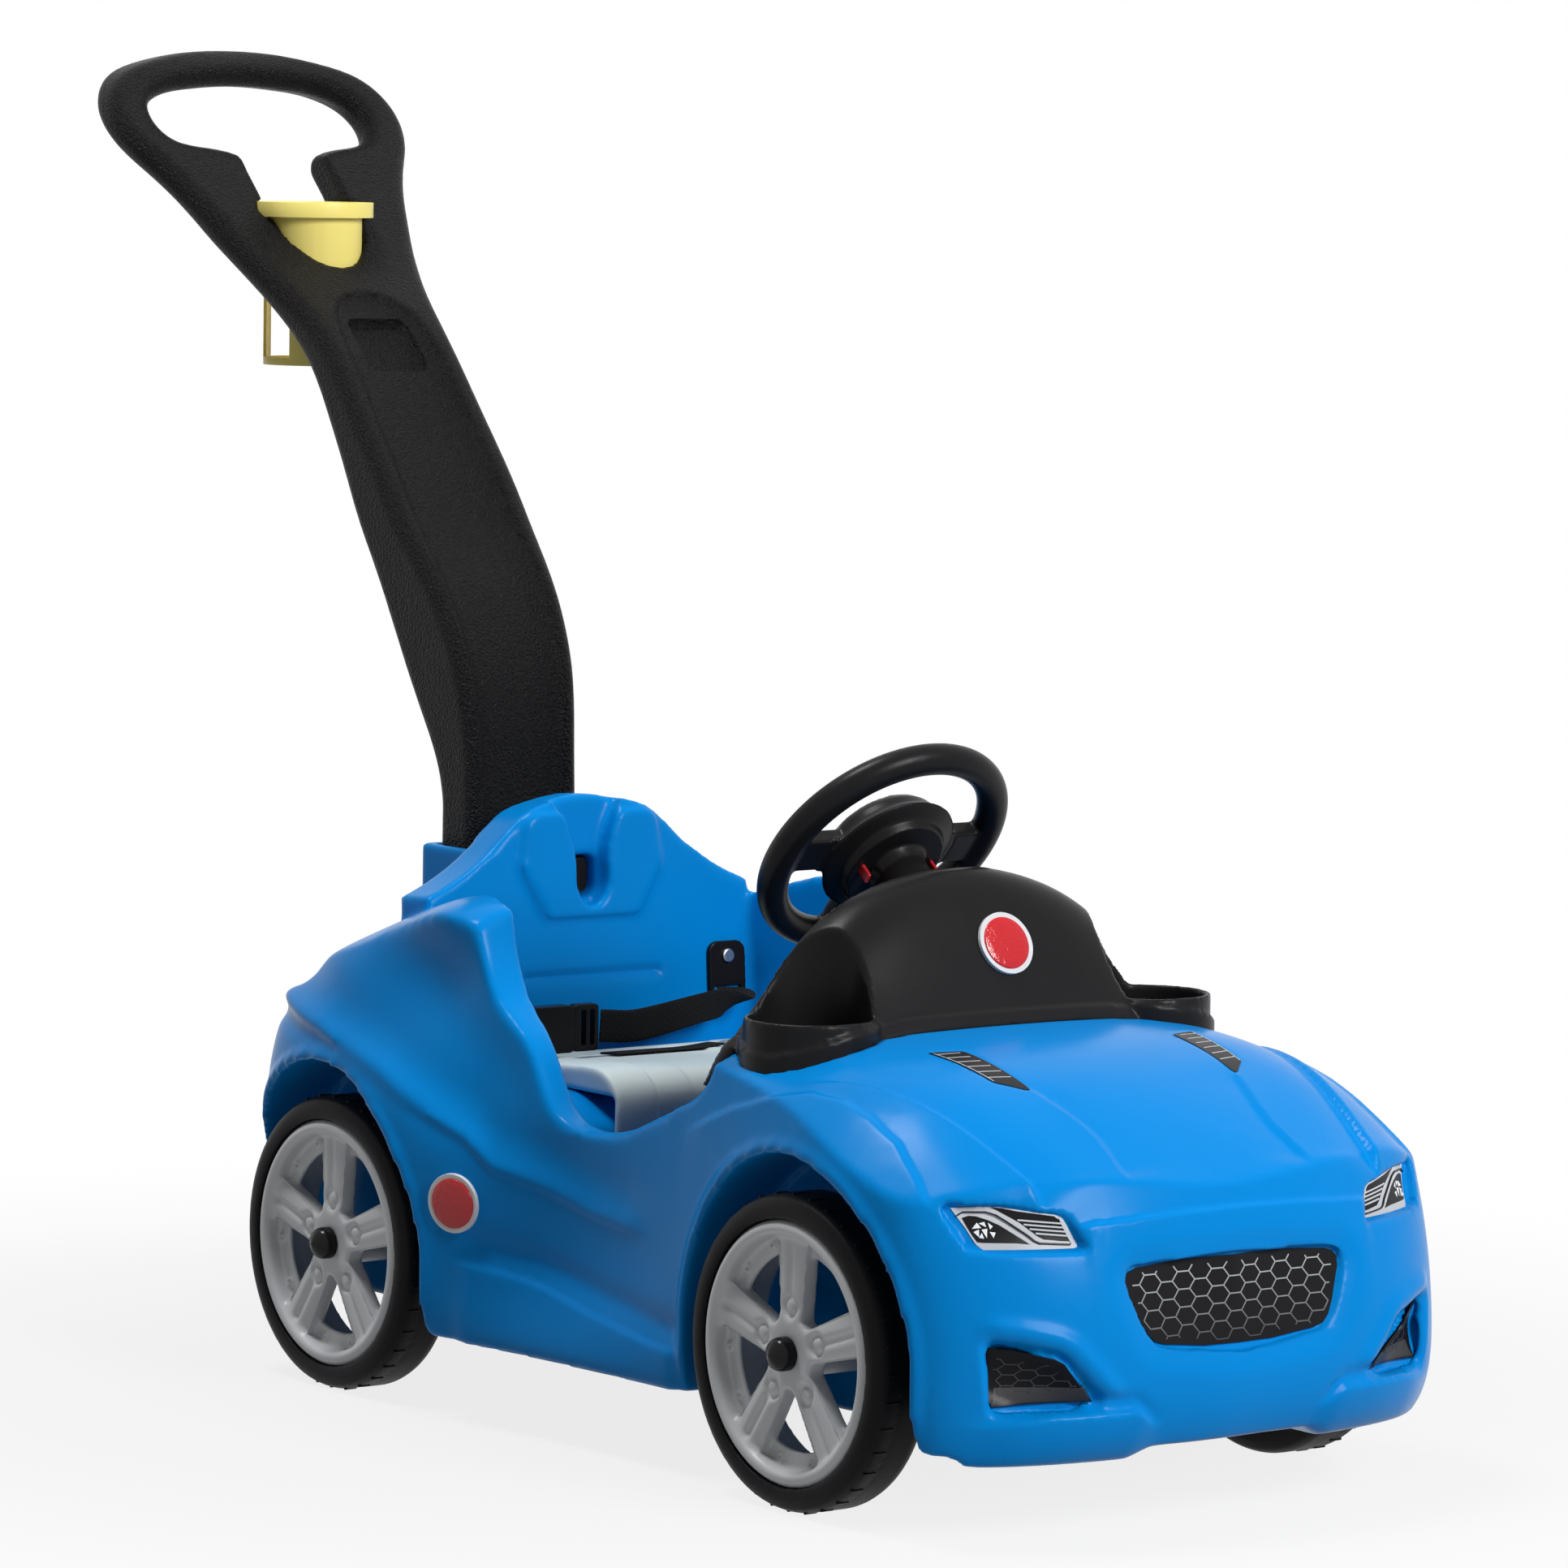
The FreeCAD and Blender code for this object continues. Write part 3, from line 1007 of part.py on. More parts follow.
# Cup holder: a rimmed cup over an open cage, hung in the notches of the handle.
cup = doc.addObject("PartDesign::Body", "CupHolder")
place(cup, "0", "cup_centre", "0", turns["Z"])
revolved(cup, "CupTurned", [
    ("cup_foot_hole", "cup_low"), ("cup_radius", "cup_low"), ("cup_radius", "cup_rim_top - cup_rim_thick"),
    ("cup_rim_radius", "cup_rim_top - cup_rim_thick"), ("cup_rim_radius", "cup_rim_top"),
    ("cup_radius - cup_wall", "cup_rim_top"), ("cup_radius - cup_wall", "cup_low + cup_foot"),
    ("cup_foot_hole", "cup_low + cup_foot")])
window = outline(sketch_on(cup, "CupWindowSketch", "YZ_Plane"), [
    ("0 - cup_window_width / 2", "cup_low + cup_foot * 2"),
    ("cup_window_width / 2", "cup_low + cup_foot * 2"),
    ("cup_window_width / 2", "cup_low + cup_window_rise"),
    ("0 - cup_window_width / 2", "cup_low + cup_window_rise")])
window = pocket(cup, "CupWindow", window, "cup_radius * 2")
around(cup, "CupWindows", [window], window_count)
keep("cup_holder", cup)

# Lap belt: webbing from two riveted anchor plates to a side-release buckle.
plate_back = -fit
plate_front = plate_back - s["anchor_thick"]
slit_half = s["strap_width"] * half + fit
slit_high = s["anchor_z"] - s["anchor_height"] * quarter
slit_mid = slit_high - s["latch_slot"] * half
rivet_z = s["anchor_z"] + s["anchor_height"] * quarter
rivet_shapes = []
for tag, side in (("right", -1), ("left", 1)):
    x = side * s["anchor_x"]
    plate = slab(x - s["anchor_width"] * half, x + s["anchor_width"] * half, plate_front, plate_back,
                 s["anchor_z"] - s["anchor_height"] * half, s["anchor_z"] + s["anchor_height"] * half)
    plate = soft_corners(plate, s["anchor_corner"], ALONG)
    hole = Part.makeCylinder(s["rivet_radius"] * half + s["run_gap"], s["anchor_thick"] * double,
                             V(x, plate_front - fit, rivet_z), ALONG)
    slit = slab(x - slit_half, x + slit_half, plate_front - fit, plate_back + fit,
                slit_high - s["latch_slot"], slit_high)
    keep("belt_anchor_" + tag, solid("BeltAnchor" + tag.title(), leaned(plate.cut([hole, slit]))))
    seat_y = plate_front - s["run_gap"]
    head_ball = Part.makeCylinder(s["rivet_radius"], s["rivet_head"], V(x, seat_y, rivet_z), ALONG * -1)
    rims = [e for e in head_ball.Edges
            if e.CenterOfMass.y < seat_y - s["rivet_head"] * half and len(e.Vertexes) == 1]
    head_ball = head_ball.makeFillet(s["rivet_head"] * half, rims)
    pin = Part.makeCylinder(s["rivet_radius"] * half, s["anchor_thick"] + fit - s["run_gap"] * double,
                            V(x, seat_y, rivet_z), ALONG)
    rivet_shapes.append(leaned(head_ball.fuse(pin)))
keep("belt_rivets", solid("BeltRivets", Part.makeCompound(rivet_shapes)))


def webbing(path, ways):
    """A flat strap: a run of thin upright sections, each turned to its own width direction."""
    wires = []
    for i, p in enumerate(path):
        a = path[max(i - 1, 0)]
        b = path[min(i + 1, len(path) - 1)]
        along = (b - a).normalize()
        across = ways[i] - along * ways[i].dot(along)
        across = across.normalize() * s["strap_width"] * half
        face = along.cross(across).normalize() * s["strap_thick"] * half
        ring_points = [p + across + face, p + across - face, p - across - face, p - across + face]
        wires.append(Part.makePolygon(ring_points + ring_points[:1]))
    return Part.makeLoft(wires, True, False)


def belt_path(shares, side):
    """Belt points from the slit of an anchor plate to the buckle, from shares of the offsets."""
    start = lean.multVec(V(side * s["anchor_x"], plate_front - s["strap_thick"] - fit, slit_mid))
    points = [V(x * s["anchor_x"], s["buckle_y"] + y * (s["anchor_y"] - s["buckle_y"]),
                s["buckle_z"] + z * (s["anchor_z"] - s["buckle_z"])) for x, y, z in shares]
    return [start] + points


left_ways = [ACROSS, V(1, -1, half), V(0, -half, double), UP, UP]
left_strap = webbing(belt_path(belt_left_shares, 1), left_ways)
tail_path = []
tail_fall = (panel_top(s["buckle_y"]) - panel_top(s["buckle_y"] - s["strap_width"])) / s["strap_width"]
for x, y in belt_tail_shares:
    tail_y = s["buckle_y"] + y * (s["anchor_y"] - s["buckle_y"])
    tail_path.append(V(x * s["anchor_x"], tail_y, panel_top(tail_y) + s["strap_thick"] * half + fit))
loose_tail = webbing(tail_path, [ALONG + UP * tail_fall] * len(tail_path))
keep("belt_strap_left", solid("BeltStrapLeft", Part.makeCompound([left_strap, loose_tail])))
right_ways = [-ACROSS, V(-1, -1, half), V(0, -half, double), UP]
right_strap = webbing(belt_path(belt_right_shares, -1), right_ways)
keep("belt_strap_right", solid("BeltStrapRight", right_strap))

buckle_at = V(-s["buckle_x"], s["buckle_y"], s["buckle_z"])
thick, tall_half = s["buckle_thick"] * half, s["buckle_width"] * half
clear, prong = s["tongue_gap"], s["latch_prong"]
prong_high = tall_half - prong
prong_thick = s["latch_slot"] * half


def buckle_block(near, far, deep_half, low, high):
    """A block of the buckle, by its reach across the car, its half depth and its heights."""
    block = slab(near, far, -deep_half, deep_half, low, high)
    block.translate(buckle_at)
    return block


case = buckle_block(-s["buckle_length"], 0, thick, -tall_half, tall_half)
case = soft_corners(case, s["buckle_corner"], ALONG)
room = buckle_block(-s["latch_length"] - clear, fit, prong_thick + clear,
                    -prong_high - clear, prong_high + clear)
keep("buckle_socket", solid("BuckleSocket", case.cut(room)))
bar = buckle_block(clear, s["latch_bar"], (thick + prong_thick) * half, -tall_half, tall_half)
bar = soft_corners(bar, s["buckle_corner"], ALONG)
prongs = [buckle_block(-s["latch_length"], clear * double, prong_thick, low, low + prong)
          for low in (-prong_high, -prong * half, prong_high - prong)]
gap_x = s["latch_bar"] * half
slots = [buckle_block(gap_x - s["latch_slot"] + shift, gap_x + shift, thick,
                      -prong_high - clear, prong_high + clear) for shift in (0, s["latch_slot"] * double)]
keep("buckle_tongue", solid("BuckleTongue", bar.fuse(prongs).cut(slots).removeSplitter()))

# Check every object, then write each piece with the origin under the middle of the car's length.
doc.recompute()
faults = [obj.Name for obj in doc.Objects if "Invalid" in obj.State or "Error" in obj.State]
faults += [name for name, obj in parts.items() if obj.Shape.isNull() or not obj.Shape.isValid()]
if faults:
    raise RuntimeError("faulty pieces: " + ", ".join(faults))
ends = [parts[name].Shape.optimalBoundingBox(True, False) for name in ("body_shell", "push_handle")]
middle = (min(end.YMin for end in ends) + max(end.YMax for end in ends)) * half
print("middle", middle)
os.makedirs("parts", exist_ok=True)
for name, obj in parts.items():
    shape = obj.Shape.copy()
    shape.translate(ALONG * -middle)
    shape.exportStep("parts/%s.step" % name)
    print(name, shape.ShapeType, len(shape.Solids), round(shape.Volume), shape.isValid())
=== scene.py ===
# Push car with handle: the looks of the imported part, in metres and in the part's own frame.
import json
import math

import bmesh
import bpy
import numpy as np
from mathutils import Matrix, Vector
from mathutils.bvhtree import BVHTree


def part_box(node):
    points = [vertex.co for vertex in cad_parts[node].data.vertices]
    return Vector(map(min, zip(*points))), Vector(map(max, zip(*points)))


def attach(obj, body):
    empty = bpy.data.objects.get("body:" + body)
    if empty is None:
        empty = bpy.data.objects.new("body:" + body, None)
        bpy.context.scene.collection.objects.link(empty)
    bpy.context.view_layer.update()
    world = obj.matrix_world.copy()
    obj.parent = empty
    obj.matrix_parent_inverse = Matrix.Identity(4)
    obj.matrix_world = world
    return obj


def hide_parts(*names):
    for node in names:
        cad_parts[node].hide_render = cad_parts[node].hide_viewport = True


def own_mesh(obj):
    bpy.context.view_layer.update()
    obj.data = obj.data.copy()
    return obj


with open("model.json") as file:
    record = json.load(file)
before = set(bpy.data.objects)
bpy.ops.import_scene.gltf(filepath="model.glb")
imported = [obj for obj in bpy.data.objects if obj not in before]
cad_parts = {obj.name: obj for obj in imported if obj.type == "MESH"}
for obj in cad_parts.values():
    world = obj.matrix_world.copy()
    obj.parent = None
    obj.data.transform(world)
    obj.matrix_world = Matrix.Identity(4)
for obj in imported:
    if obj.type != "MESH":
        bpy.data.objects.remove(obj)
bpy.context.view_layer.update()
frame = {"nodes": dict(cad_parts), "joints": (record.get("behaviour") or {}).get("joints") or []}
bpy.ops.object.select_all(action="DESELECT")


# Body: one blow-moulded shell of blue polyethylene, semi-gloss with a fine skin grain and soft edges.
# The mould draws its hood creases, arch flares, side ridge and lower lip, and the rest is fixed to it.
def only(piece):
    """Make one object the only selected and active one."""
    bpy.ops.object.select_all(action="DESELECT")
    piece.select_set(True)
    bpy.context.view_layer.objects.active = piece


def added(name, data):
    """A new object in the scene that holds the given data."""
    piece = bpy.data.objects.new(name, data)
    bpy.context.collection.objects.link(piece)
    return piece


def merged_copy(node, name):
    """A bare copy of a CAD node's mesh with its doubled points merged."""
    piece = added(name, frame["nodes"][node].data.copy())
    piece.data.materials.clear()
    only(piece)
    if piece.data.has_custom_normals:
        bpy.ops.mesh.customdata_custom_splitnormals_clear()
    bpy.ops.object.mode_set(mode="EDIT")
    bpy.ops.mesh.select_all(action="SELECT")
    bpy.ops.mesh.remove_doubles(threshold=0.00001)
    bpy.ops.mesh.normals_make_consistent(inside=False)
    bpy.ops.object.mode_set(mode="OBJECT")
    return piece


def worked(piece, kind, **settings):
    """Add one modifier to a piece and apply it."""
    only(piece)
    step = piece.modifiers.new(kind.title(), kind)
    for key, value in settings.items():
        setattr(step, key, value)
    bpy.ops.object.modifier_apply(modifier=step.name)


def softened(piece, voxel, rounds):
    """Run a piece's edges together the way a mould does: an even fine mesh, then smoothing."""
    worked(piece, "REMESH", mode="VOXEL", voxel_size=voxel)
    worked(piece, "SMOOTH", factor=0.5, iterations=rounds)
    bpy.ops.object.shade_smooth()


def moulded(name, colour, roughness, grain, depth, drift=0.05, specular=0.5, metallic=0.0):
    """Moulded plastic: slow colour drift, uneven gloss and a skin grain, all on Object coordinates."""
    finish = bpy.data.materials.new(name)
    finish.use_nodes = True
    tree = finish.node_tree
    skin = tree.nodes["Principled BSDF"]
    skin.inputs["Specular IOR Level"].default_value = specular
    skin.inputs["Metallic"].default_value = metallic
    place = tree.nodes.new("ShaderNodeTexCoord")
    cloud = tree.nodes.new("ShaderNodeTexNoise")
    cloud.inputs["Scale"].default_value = 9.0
    cloud.inputs["Detail"].default_value = 4.0
    tint = tree.nodes.new("ShaderNodeMix")
    tint.data_type = "RGBA"
    tint.inputs[6].default_value = tuple(c * (1 - drift) for c in colour) + (1,)
    tint.inputs[7].default_value = tuple(min(c * (1 + drift), 1) for c in colour) + (1,)
    haze = tree.nodes.new("ShaderNodeTexNoise")
    haze.inputs["Scale"].default_value = 40.0
    haze.inputs["Detail"].default_value = 3.0
    gloss = tree.nodes.new("ShaderNodeMapRange")
    gloss.inputs["To Min"].default_value = roughness * 0.85
    gloss.inputs["To Max"].default_value = roughness * 1.15
    grit = tree.nodes.new("ShaderNodeTexNoise")
    grit.inputs["Scale"].default_value = 1 / grain
    grit.inputs["Detail"].default_value = 2.0
    bump = tree.nodes.new("ShaderNodeBump")
    bump.inputs["Distance"].default_value = depth
    for texture in (cloud, haze, grit):
        tree.links.new(place.outputs["Object"], texture.inputs["Vector"])
    tree.links.new(cloud.outputs["Fac"], tint.inputs[0])
    tree.links.new(tint.outputs[2], skin.inputs["Base Color"])
    tree.links.new(haze.outputs["Fac"], gloss.inputs["Value"])
    tree.links.new(gloss.outputs["Result"], skin.inputs["Roughness"])
    tree.links.new(grit.outputs["Fac"], bump.inputs["Height"])
    tree.links.new(bump.outputs["Normal"], skin.inputs["Normal"])
    return finish


def fitted(piece, finish, rides, slot, *nodes):
    """Give a finished piece its material and its moving body, and hide the nodes it stands for; the record
    slot is not used.
    """
    piece.data.materials.clear()
    piece.data.materials.append(finish)
    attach(piece, rides)
    if nodes:
        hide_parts(*nodes)


def ease(value, low, high):
    """Smooth step from 0 at low to 1 at high; low may be the larger."""
    t = np.clip((value - low) / (high - low), 0, 1)
    return t * t * (3 - 2 * t)


def apart(u, v, outline):
    """Distance of points from a closed outline, negative inside it."""
    nearest, odd = np.full(u.shape, 1e9), np.zeros(u.shape, bool)
    for (a, b), (c, d) in zip(outline, outline[1:] + outline[:1]):
        t = np.clip(((u - a) * (c - a) + (v - b) * (d - b)) / ((c - a) ** 2 + (d - b) ** 2), 0, 1)
        nearest = np.minimum(nearest, np.hypot(u - a - t * (c - a), v - b - t * (d - b)))
        if b != d:
            odd ^= ((b > v) != (d > v)) & (u < (c - a) * (v - b) / (d - b) + a)
    return np.where(odd, -nearest, nearest)


def read_points(piece):
    """A piece's points and their outward directions as arrays."""
    count = len(piece.data.vertices)
    points, ways = np.empty(count * 3), np.empty(count * 3)
    piece.data.vertices.foreach_get("co", points)
    piece.data.vertex_normals.foreach_get("vector", ways)
    return points.reshape(-1, 3), ways.reshape(-1, 3)


def write_points(piece, points):
    """Put moved points back into a piece."""
    piece.data.vertices.foreach_set("co", points.ravel())
    piece.data.update()


def centre(node):
    """The middle of a CAD node's box."""
    low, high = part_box(node)
    return (low + high) / 2


mm = 1000  # millimetres in a metre
body = merged_copy("body_shell", "body_skin")
softened(body, 0.0027, 9)
axle_front, axle_rear, axle_up = centre("front_axle").y, centre("rear_axle").y, centre("front_axle").z
middle = (axle_front + axle_rear) / 2
spots, ways = read_points(body)
x, y, z = np.abs(spots[:, 0]) * mm, (spots[:, 1] - middle) * mm, spots[:, 2] * mm
side_on, ahead, above = ways[:, 0] * np.sign(spots[:, 0]), -ways[:, 1], ways[:, 2]
push, outward = np.zeros(len(spots)), np.zeros(len(spots))
# Hood creases: half-widths along the car in millimetres, and how deep the hood drops inside each.
fade_inside, fade_outside = 26, 9
for line, depths in ((((-460, 80), (-430, 76), (-410, 79), (-370, 91)), (3.0, 2.4)),
                     (((-457, 151), (-375, 170), (-290, 189), (-264, 197)), (6.0, 2.0))):
    ys, xs = np.array(line).T
    within = np.interp(y, ys, xs) - x
    deep = np.interp(y, (ys[0], ys[-1]), depths)
    reach = ease(y, ys[0] - 10, ys[0] + 4) * ease(y, ys[-1] + 14, ys[-1] - 20) * ease(above, 0.2, 0.5)
    push -= deep * reach * (ease(within, -2, 2) * np.exp(-np.maximum(within, 0) / fade_inside)
                            - 0.35 * ease(within, 2, -2) * np.exp(np.minimum(within, 0) / fade_outside))
# Front crease over the grille: what is below it stands proud.
crest_proud = 3.4
crest = np.interp(x, (0, 60, 122), (220, 219, 215))
over_grille = ease(x, 131, 119) * ease(ahead, 0.15, 0.45) * ease(y, -380, -420)
push += crest_proud * over_grille * ease(z, crest + 1.6, crest - 1.6) * np.exp(-np.maximum(crest - z, 0) / 26)
# Flared lips round the four wheel arches.
arch_lip, arch_radius = 3, 149
near_arch = np.zeros(len(spots), bool)
for axle in (axle_front, axle_rear):
    radius = np.hypot(y - (axle - middle) * mm, z - axle_up * mm)
    outward += arch_lip * ease(radius, arch_radius, arch_radius - 6) * ease(x, 185, 205) * ease(z, 60, 90)
    near_arch |= (radius < arch_radius + 3) & (x > 165)
# Fender line along each front flank, as heights over the length: the flank below it stands proud.
fender_proud = 2.6
ys, zs = np.array(((-424, 227), (-401, 245), (-373, 264), (-342, 277), (-311, 285), (-278, 287), (-246, 281),
                   (-195, 267), (-140, 246))).T
drop = np.interp(y, ys, zs) - z
on_fender = ease(side_on, 0.2, 0.5) * ease(y, -432, -405) * ease(y, -130, -165)
push += fender_proud * on_fender * ease(drop, -2, 2) * np.exp(-np.maximum(drop, 0) / 24)
# Side ridge: it grows stronger towards the rear, with a hollow above it and a slighter one below.
ys, zs = np.array(((-73, 165), (-12, 170), (35, 182), (83, 192), (109, 211), (151, 228), (203, 249),
                   (293, 272), (366, 283), (400, 288))).T
rise = z - np.interp(y, ys, zs)
flank = ease(np.hypot(side_on, np.minimum(ahead, 0)), 0.35, 0.65) * ease(above, 0.95, 0.8)
flank = flank * ease(y, -95, -50) * ease(x, 140, 185)
ridge_proud = np.interp(y, (-73, 120, 250, 366), (2.2, 2.8, 4.0, 5.5))
ridge = np.exp(-(rise / np.where(rise > 0, 9, 4.5)) ** 2)
hollow_above = 0.75 * np.exp(-((rise - 24) / 15) ** 2)
hollow_below = np.interp(y, (200, 340), (0, 0.35)) * np.exp(-((rise + 13) / 7) ** 2)
push += flank * ridge_proud * (ridge - hollow_above - hollow_below)
# Skirt line between the wheels: a groove with the skirt standing proud below it.
skirt_proud, skirt_groove = 3.2, 3.5
ys, zs = np.array(((-133, 88), (-103, 89), (-24, 98), (47, 112), (105, 119))).T
below = np.interp(y, ys, zs) - z
on_skirt = ease(side_on, 0.35, 0.65) * ease(y, -146, -125) * ease(y, 126, 100)
push += on_skirt * (skirt_proud * ease(below, -1.8, 1.8) - skirt_groove * np.exp(-((below + 15) / 10) ** 2))
# Grille mouth, fog-lamp hollows with their brows, and the lower lip's ledge.
face_on = ease(ahead, 0.2, 0.5) * ease(y, -390, -425)
grille_sunk, fog_sunk, brow_proud, lip_proud = 5, 8, 3.2, 4.5
grille_half = [(0, 187), (45, 186.5), (84, 184), (91, 182), (94.5, 178), (94, 171), (86, 149.5),
               (80.5, 139.5), (75, 134.5), (66, 132), (30, 128), (0, 127.5)]
grille_edge = grille_half + [(-u, v) for u, v in grille_half[-2:0:-1]]
push -= grille_sunk * face_on * ease(apart(x, z, grille_edge), 24, 0) ** 1.5
fog_edge = [(192.5, 135), (179, 133.5), (157, 128), (151, 124.5), (125.5, 97.5), (189, 95.5)]
off_fog = apart(x, z, fog_edge)
brow = np.exp(-((off_fog - 15) / 6) ** 2) * ease(z, 98, 108) * ease(x, 205, 185)
push += face_on * (brow_proud * brow - fog_sunk * ease(off_fog, 9, 0))
ledge = np.interp(x, (0, 70, 78, 92, 155, 180, 195), (76, 78, 80, 90, 90, 86, 84)) - z
lip = lip_proud * ease(ledge, -1.6, 1.6) - 2 * np.exp(-((ledge + 7) / 5) ** 2)
lip = lip * face_on * ease(x, 215, 165) * ease(x, 66, 92)
level = ways * (1, 1, 0)
spots = spots + (ways * push[:, None] + level * lip[:, None]) / mm
spots[:, 0] += np.sign(spots[:, 0]) * outward / mm
# The blue seat falls away beside the grey panel, towards its front.
seat_fall = 0.024
seat_front = (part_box("seat_panel")[0].y - middle) * mm
beside = ease(x, 107, 118) * ease(x, 182, 165) * ease(z, 196, 236) * ease(z, 285, 262)
spots[:, 2] -= seat_fall * beside * ease(y, seat_front + 60, seat_front - 8) \
    * ease(y, seat_front - 60, seat_front - 30)


def curve_terms(u, v):
    """Terms of a gently curved surface over millimetres across and up."""
    u, v = np.abs(u) / 100, v / 100
    return np.stack((np.ones_like(u), u, v, u * u, u * v, v * v), 1)


# Even beds under the printed films, each one smooth surface fitted to the skin inside its outline.
lamp_edge = [(202, 227), (184, 228), (173, 227.5), (151, 223.5), (139.5, 222), (135, 220), (132, 215),
             (129, 208), (125, 201.5), (126, 199.5), (189, 200), (192, 203.5), (195.5, 214), (199, 221)]
vent_edge = [(118.5, -293), (96, -300.5), (94, -304), (91.5, -368), (92, -372.5), (95, -372), (111, -357),
             (112.5, -350), (118, -298)]
nose = (ahead > -0.3) & (y < -420)
beds = {}
for key, edge, toward, faces_out, sunk in (("lamp", lamp_edge, 1, (ahead > 0) & (y < -385), 0.0008),
                                           ("fog", fog_edge, 1, nose, 0.0),
                                           ("grille", grille_edge, 1, nose, 0.002),
                                           ("vent", vent_edge, 2, above > 0.3, -0.0008)):
    up_side = z if toward == 1 else y
    gap = apart(x, up_side, edge)
    core = faces_out & (gap < -2)
    terms = curve_terms(x, up_side)
    beds[key] = np.linalg.lstsq(terms[core], spots[core, toward], rcond=None)[0]
    beds[key][0] += sunk
    share = faces_out * ease(gap, 2.2, 0.2)
    spots[:, toward] += share * (terms @ beds[key] - spots[:, toward])
write_points(body, spots)
# Places that the mould leaves softer than the rest, with the rounds of smoothing that each gets.
near_seat = (y > seat_front - 40) & (y < seat_front + 75)
bolster = (x > 84) & (x < 178) & (z > 150) & (z < 268) & near_seat
sill = (x > 125) & (z > 225) & (y > -110) & (y < 262) & (above < 0.995)
for key, rounds, chosen in (("bolster", 40, bolster), ("arches", 10, near_arch), ("sill", 24, sill)):
    body.vertex_groups.new(name=key).add(np.flatnonzero(chosen).tolist(), 1.0, "REPLACE")
    worked(body, "SMOOTH", factor=0.5, iterations=rounds, vertex_group=key)
worked(body, "SMOOTH", factor=0.35, iterations=2)
body_triangles = 196000
worked(body, "DECIMATE", ratio=min(1.0, body_triangles / (2 * len(body.data.polygons))))
bpy.ops.object.shade_smooth()
blue = moulded("blue_polyethylene", (0.0008, 0.2, 0.565), 0.24, 0.0014, 0.00003, specular=0.055)
fitted(body, blue, "car", "body_blue", "body_shell")

# Printed films: thin glossy vinyl die-cut to the head-lamp, fog-lamp, grille and vent recesses.
# They are stuck to the shell after moulding, each on the even bed moulded for it.
film_lift, layer_lift, film_thick, longest_edge = 0.0008, 0.00025, 0.0012, 6


def film(name, outlines, bed, layer, finish):
    """Lay flat outlines, drawn in millimetres as seen from the front or from above, on one of the beds."""
    sheet = bmesh.new()
    for outline in outlines:
        sheet.faces.new([sheet.verts.new((u, v, 0)) for u, v in outline])
    bmesh.ops.triangulate(sheet, faces=sheet.faces[:])
    for _ in range(6):
        long_edges = [e for e in sheet.edges if e.calc_length() > longest_edge]
        if not long_edges:
            break
        bmesh.ops.subdivide_edges(sheet, edges=long_edges, cuts=1)
        bmesh.ops.triangulate(sheet, faces=[f for f in sheet.faces if len(f.verts) > 3])
    flat = np.array([tuple(corner.co) for corner in sheet.verts])
    level = curve_terms(flat[:, 0], flat[:, 1]) @ beds[bed]
    lift = film_lift + layer_lift * layer
    way = Vector((0, 0, -1)) if bed == "vent" else Vector((0, 1, 0))
    for corner, (u, v, _), depth in zip(sheet.verts, flat, level):
        if bed == "vent":
            corner.co = (u / mm, v / mm + middle, depth + lift)
        else:
            corner.co = (u / mm, depth - lift, v / mm)
    mesh = bpy.data.meshes.new(name)
    sheet.to_mesh(mesh)
    sheet.free()
    piece = added(name, mesh)
    if sum(p.normal.dot(way) * p.area for p in mesh.polygons) > 0:
        mesh.flip_normals()
    worked(piece, "SOLIDIFY", thickness=film_thick, offset=-1)
    bpy.ops.object.shade_smooth_by_angle(angle=math.radians(40))
    fitted(piece, finish, "car", "body_blue")


def strokes(lines, wide):
    """Thin outlines that follow the given lines at one width."""
    shapes = []
    for line in lines:
        points = [np.array(p, float) for p in line]
        sides = []
        for i, p in enumerate(points):
            way = points[min(i + 1, len(points) - 1)] - points[max(i - 1, 0)]
            across = np.array((-way[1], way[0])) / np.hypot(*way) * wide / 2
            sides.append((p + across, p - across))
        for (a, b), (c, d) in zip(sides, sides[1:]):
            shapes.append([tuple(a), tuple(c), tuple(d), tuple(b)])
    return shapes


def mirrored(shapes):
    """The same outlines on both sides of the car."""
    return shapes + [[(-u, v) for u, v in reversed(shape)] for shape in shapes]


def inside(u, v, outline):
    """Whether a point lies inside a closed outline."""
    odd = False
    for (a, b), (c, d) in zip(outline, outline[1:] + outline[:1]):
        if (b > v) != (d > v) and u < (c - a) * (v - b) / (d - b) + a:
            odd = not odd
    return odd


def honeycomb(outline, step, row, keep_off):
    """Lines of a stretched hexagon net, stopped short of the outline."""
    us, vs = [u for u, v in outline], [v for u, v in outline]
    heart = ((min(us) + max(us)) / 2, (min(vs) + max(vs)) / 2)
    shrink = [1 - 2 * keep_off / (max(us) - min(us)), 1 - 2 * keep_off / (max(vs) - min(vs))]
    room = [tuple(c + (p - c) * k for p, c, k in zip(point, heart, shrink)) for point in outline]
    tip, flat = step * 2 / 3, step / 3
    lines = []
    for i in range(math.floor(min(us) / step) - 1, math.ceil(max(us) / step) + 2):
        for j in range(math.floor(min(vs) / row) - 1, math.ceil(max(vs) / row) + 2):
            cu, cv = i * step, (j + (i % 2) / 2) * row
            ring = [(cu + tip, cv), (cu + flat, cv + row / 2), (cu - flat, cv + row / 2), (cu - tip, cv)]
            for a, b in zip(ring, ring[1:]):
                cuts = [tuple(p + (q - p) * t / 3 for p, q in zip(a, b)) for t in range(4)]
                lines += [cut for cut in zip(cuts, cuts[1:])
                          if inside(*cut[0], room) and inside(*cut[1], room)]
    return lines


def node_of(tree, kind):
    """The first shader node of one kind."""
    return next(n for n in tree.nodes if n.type == kind)


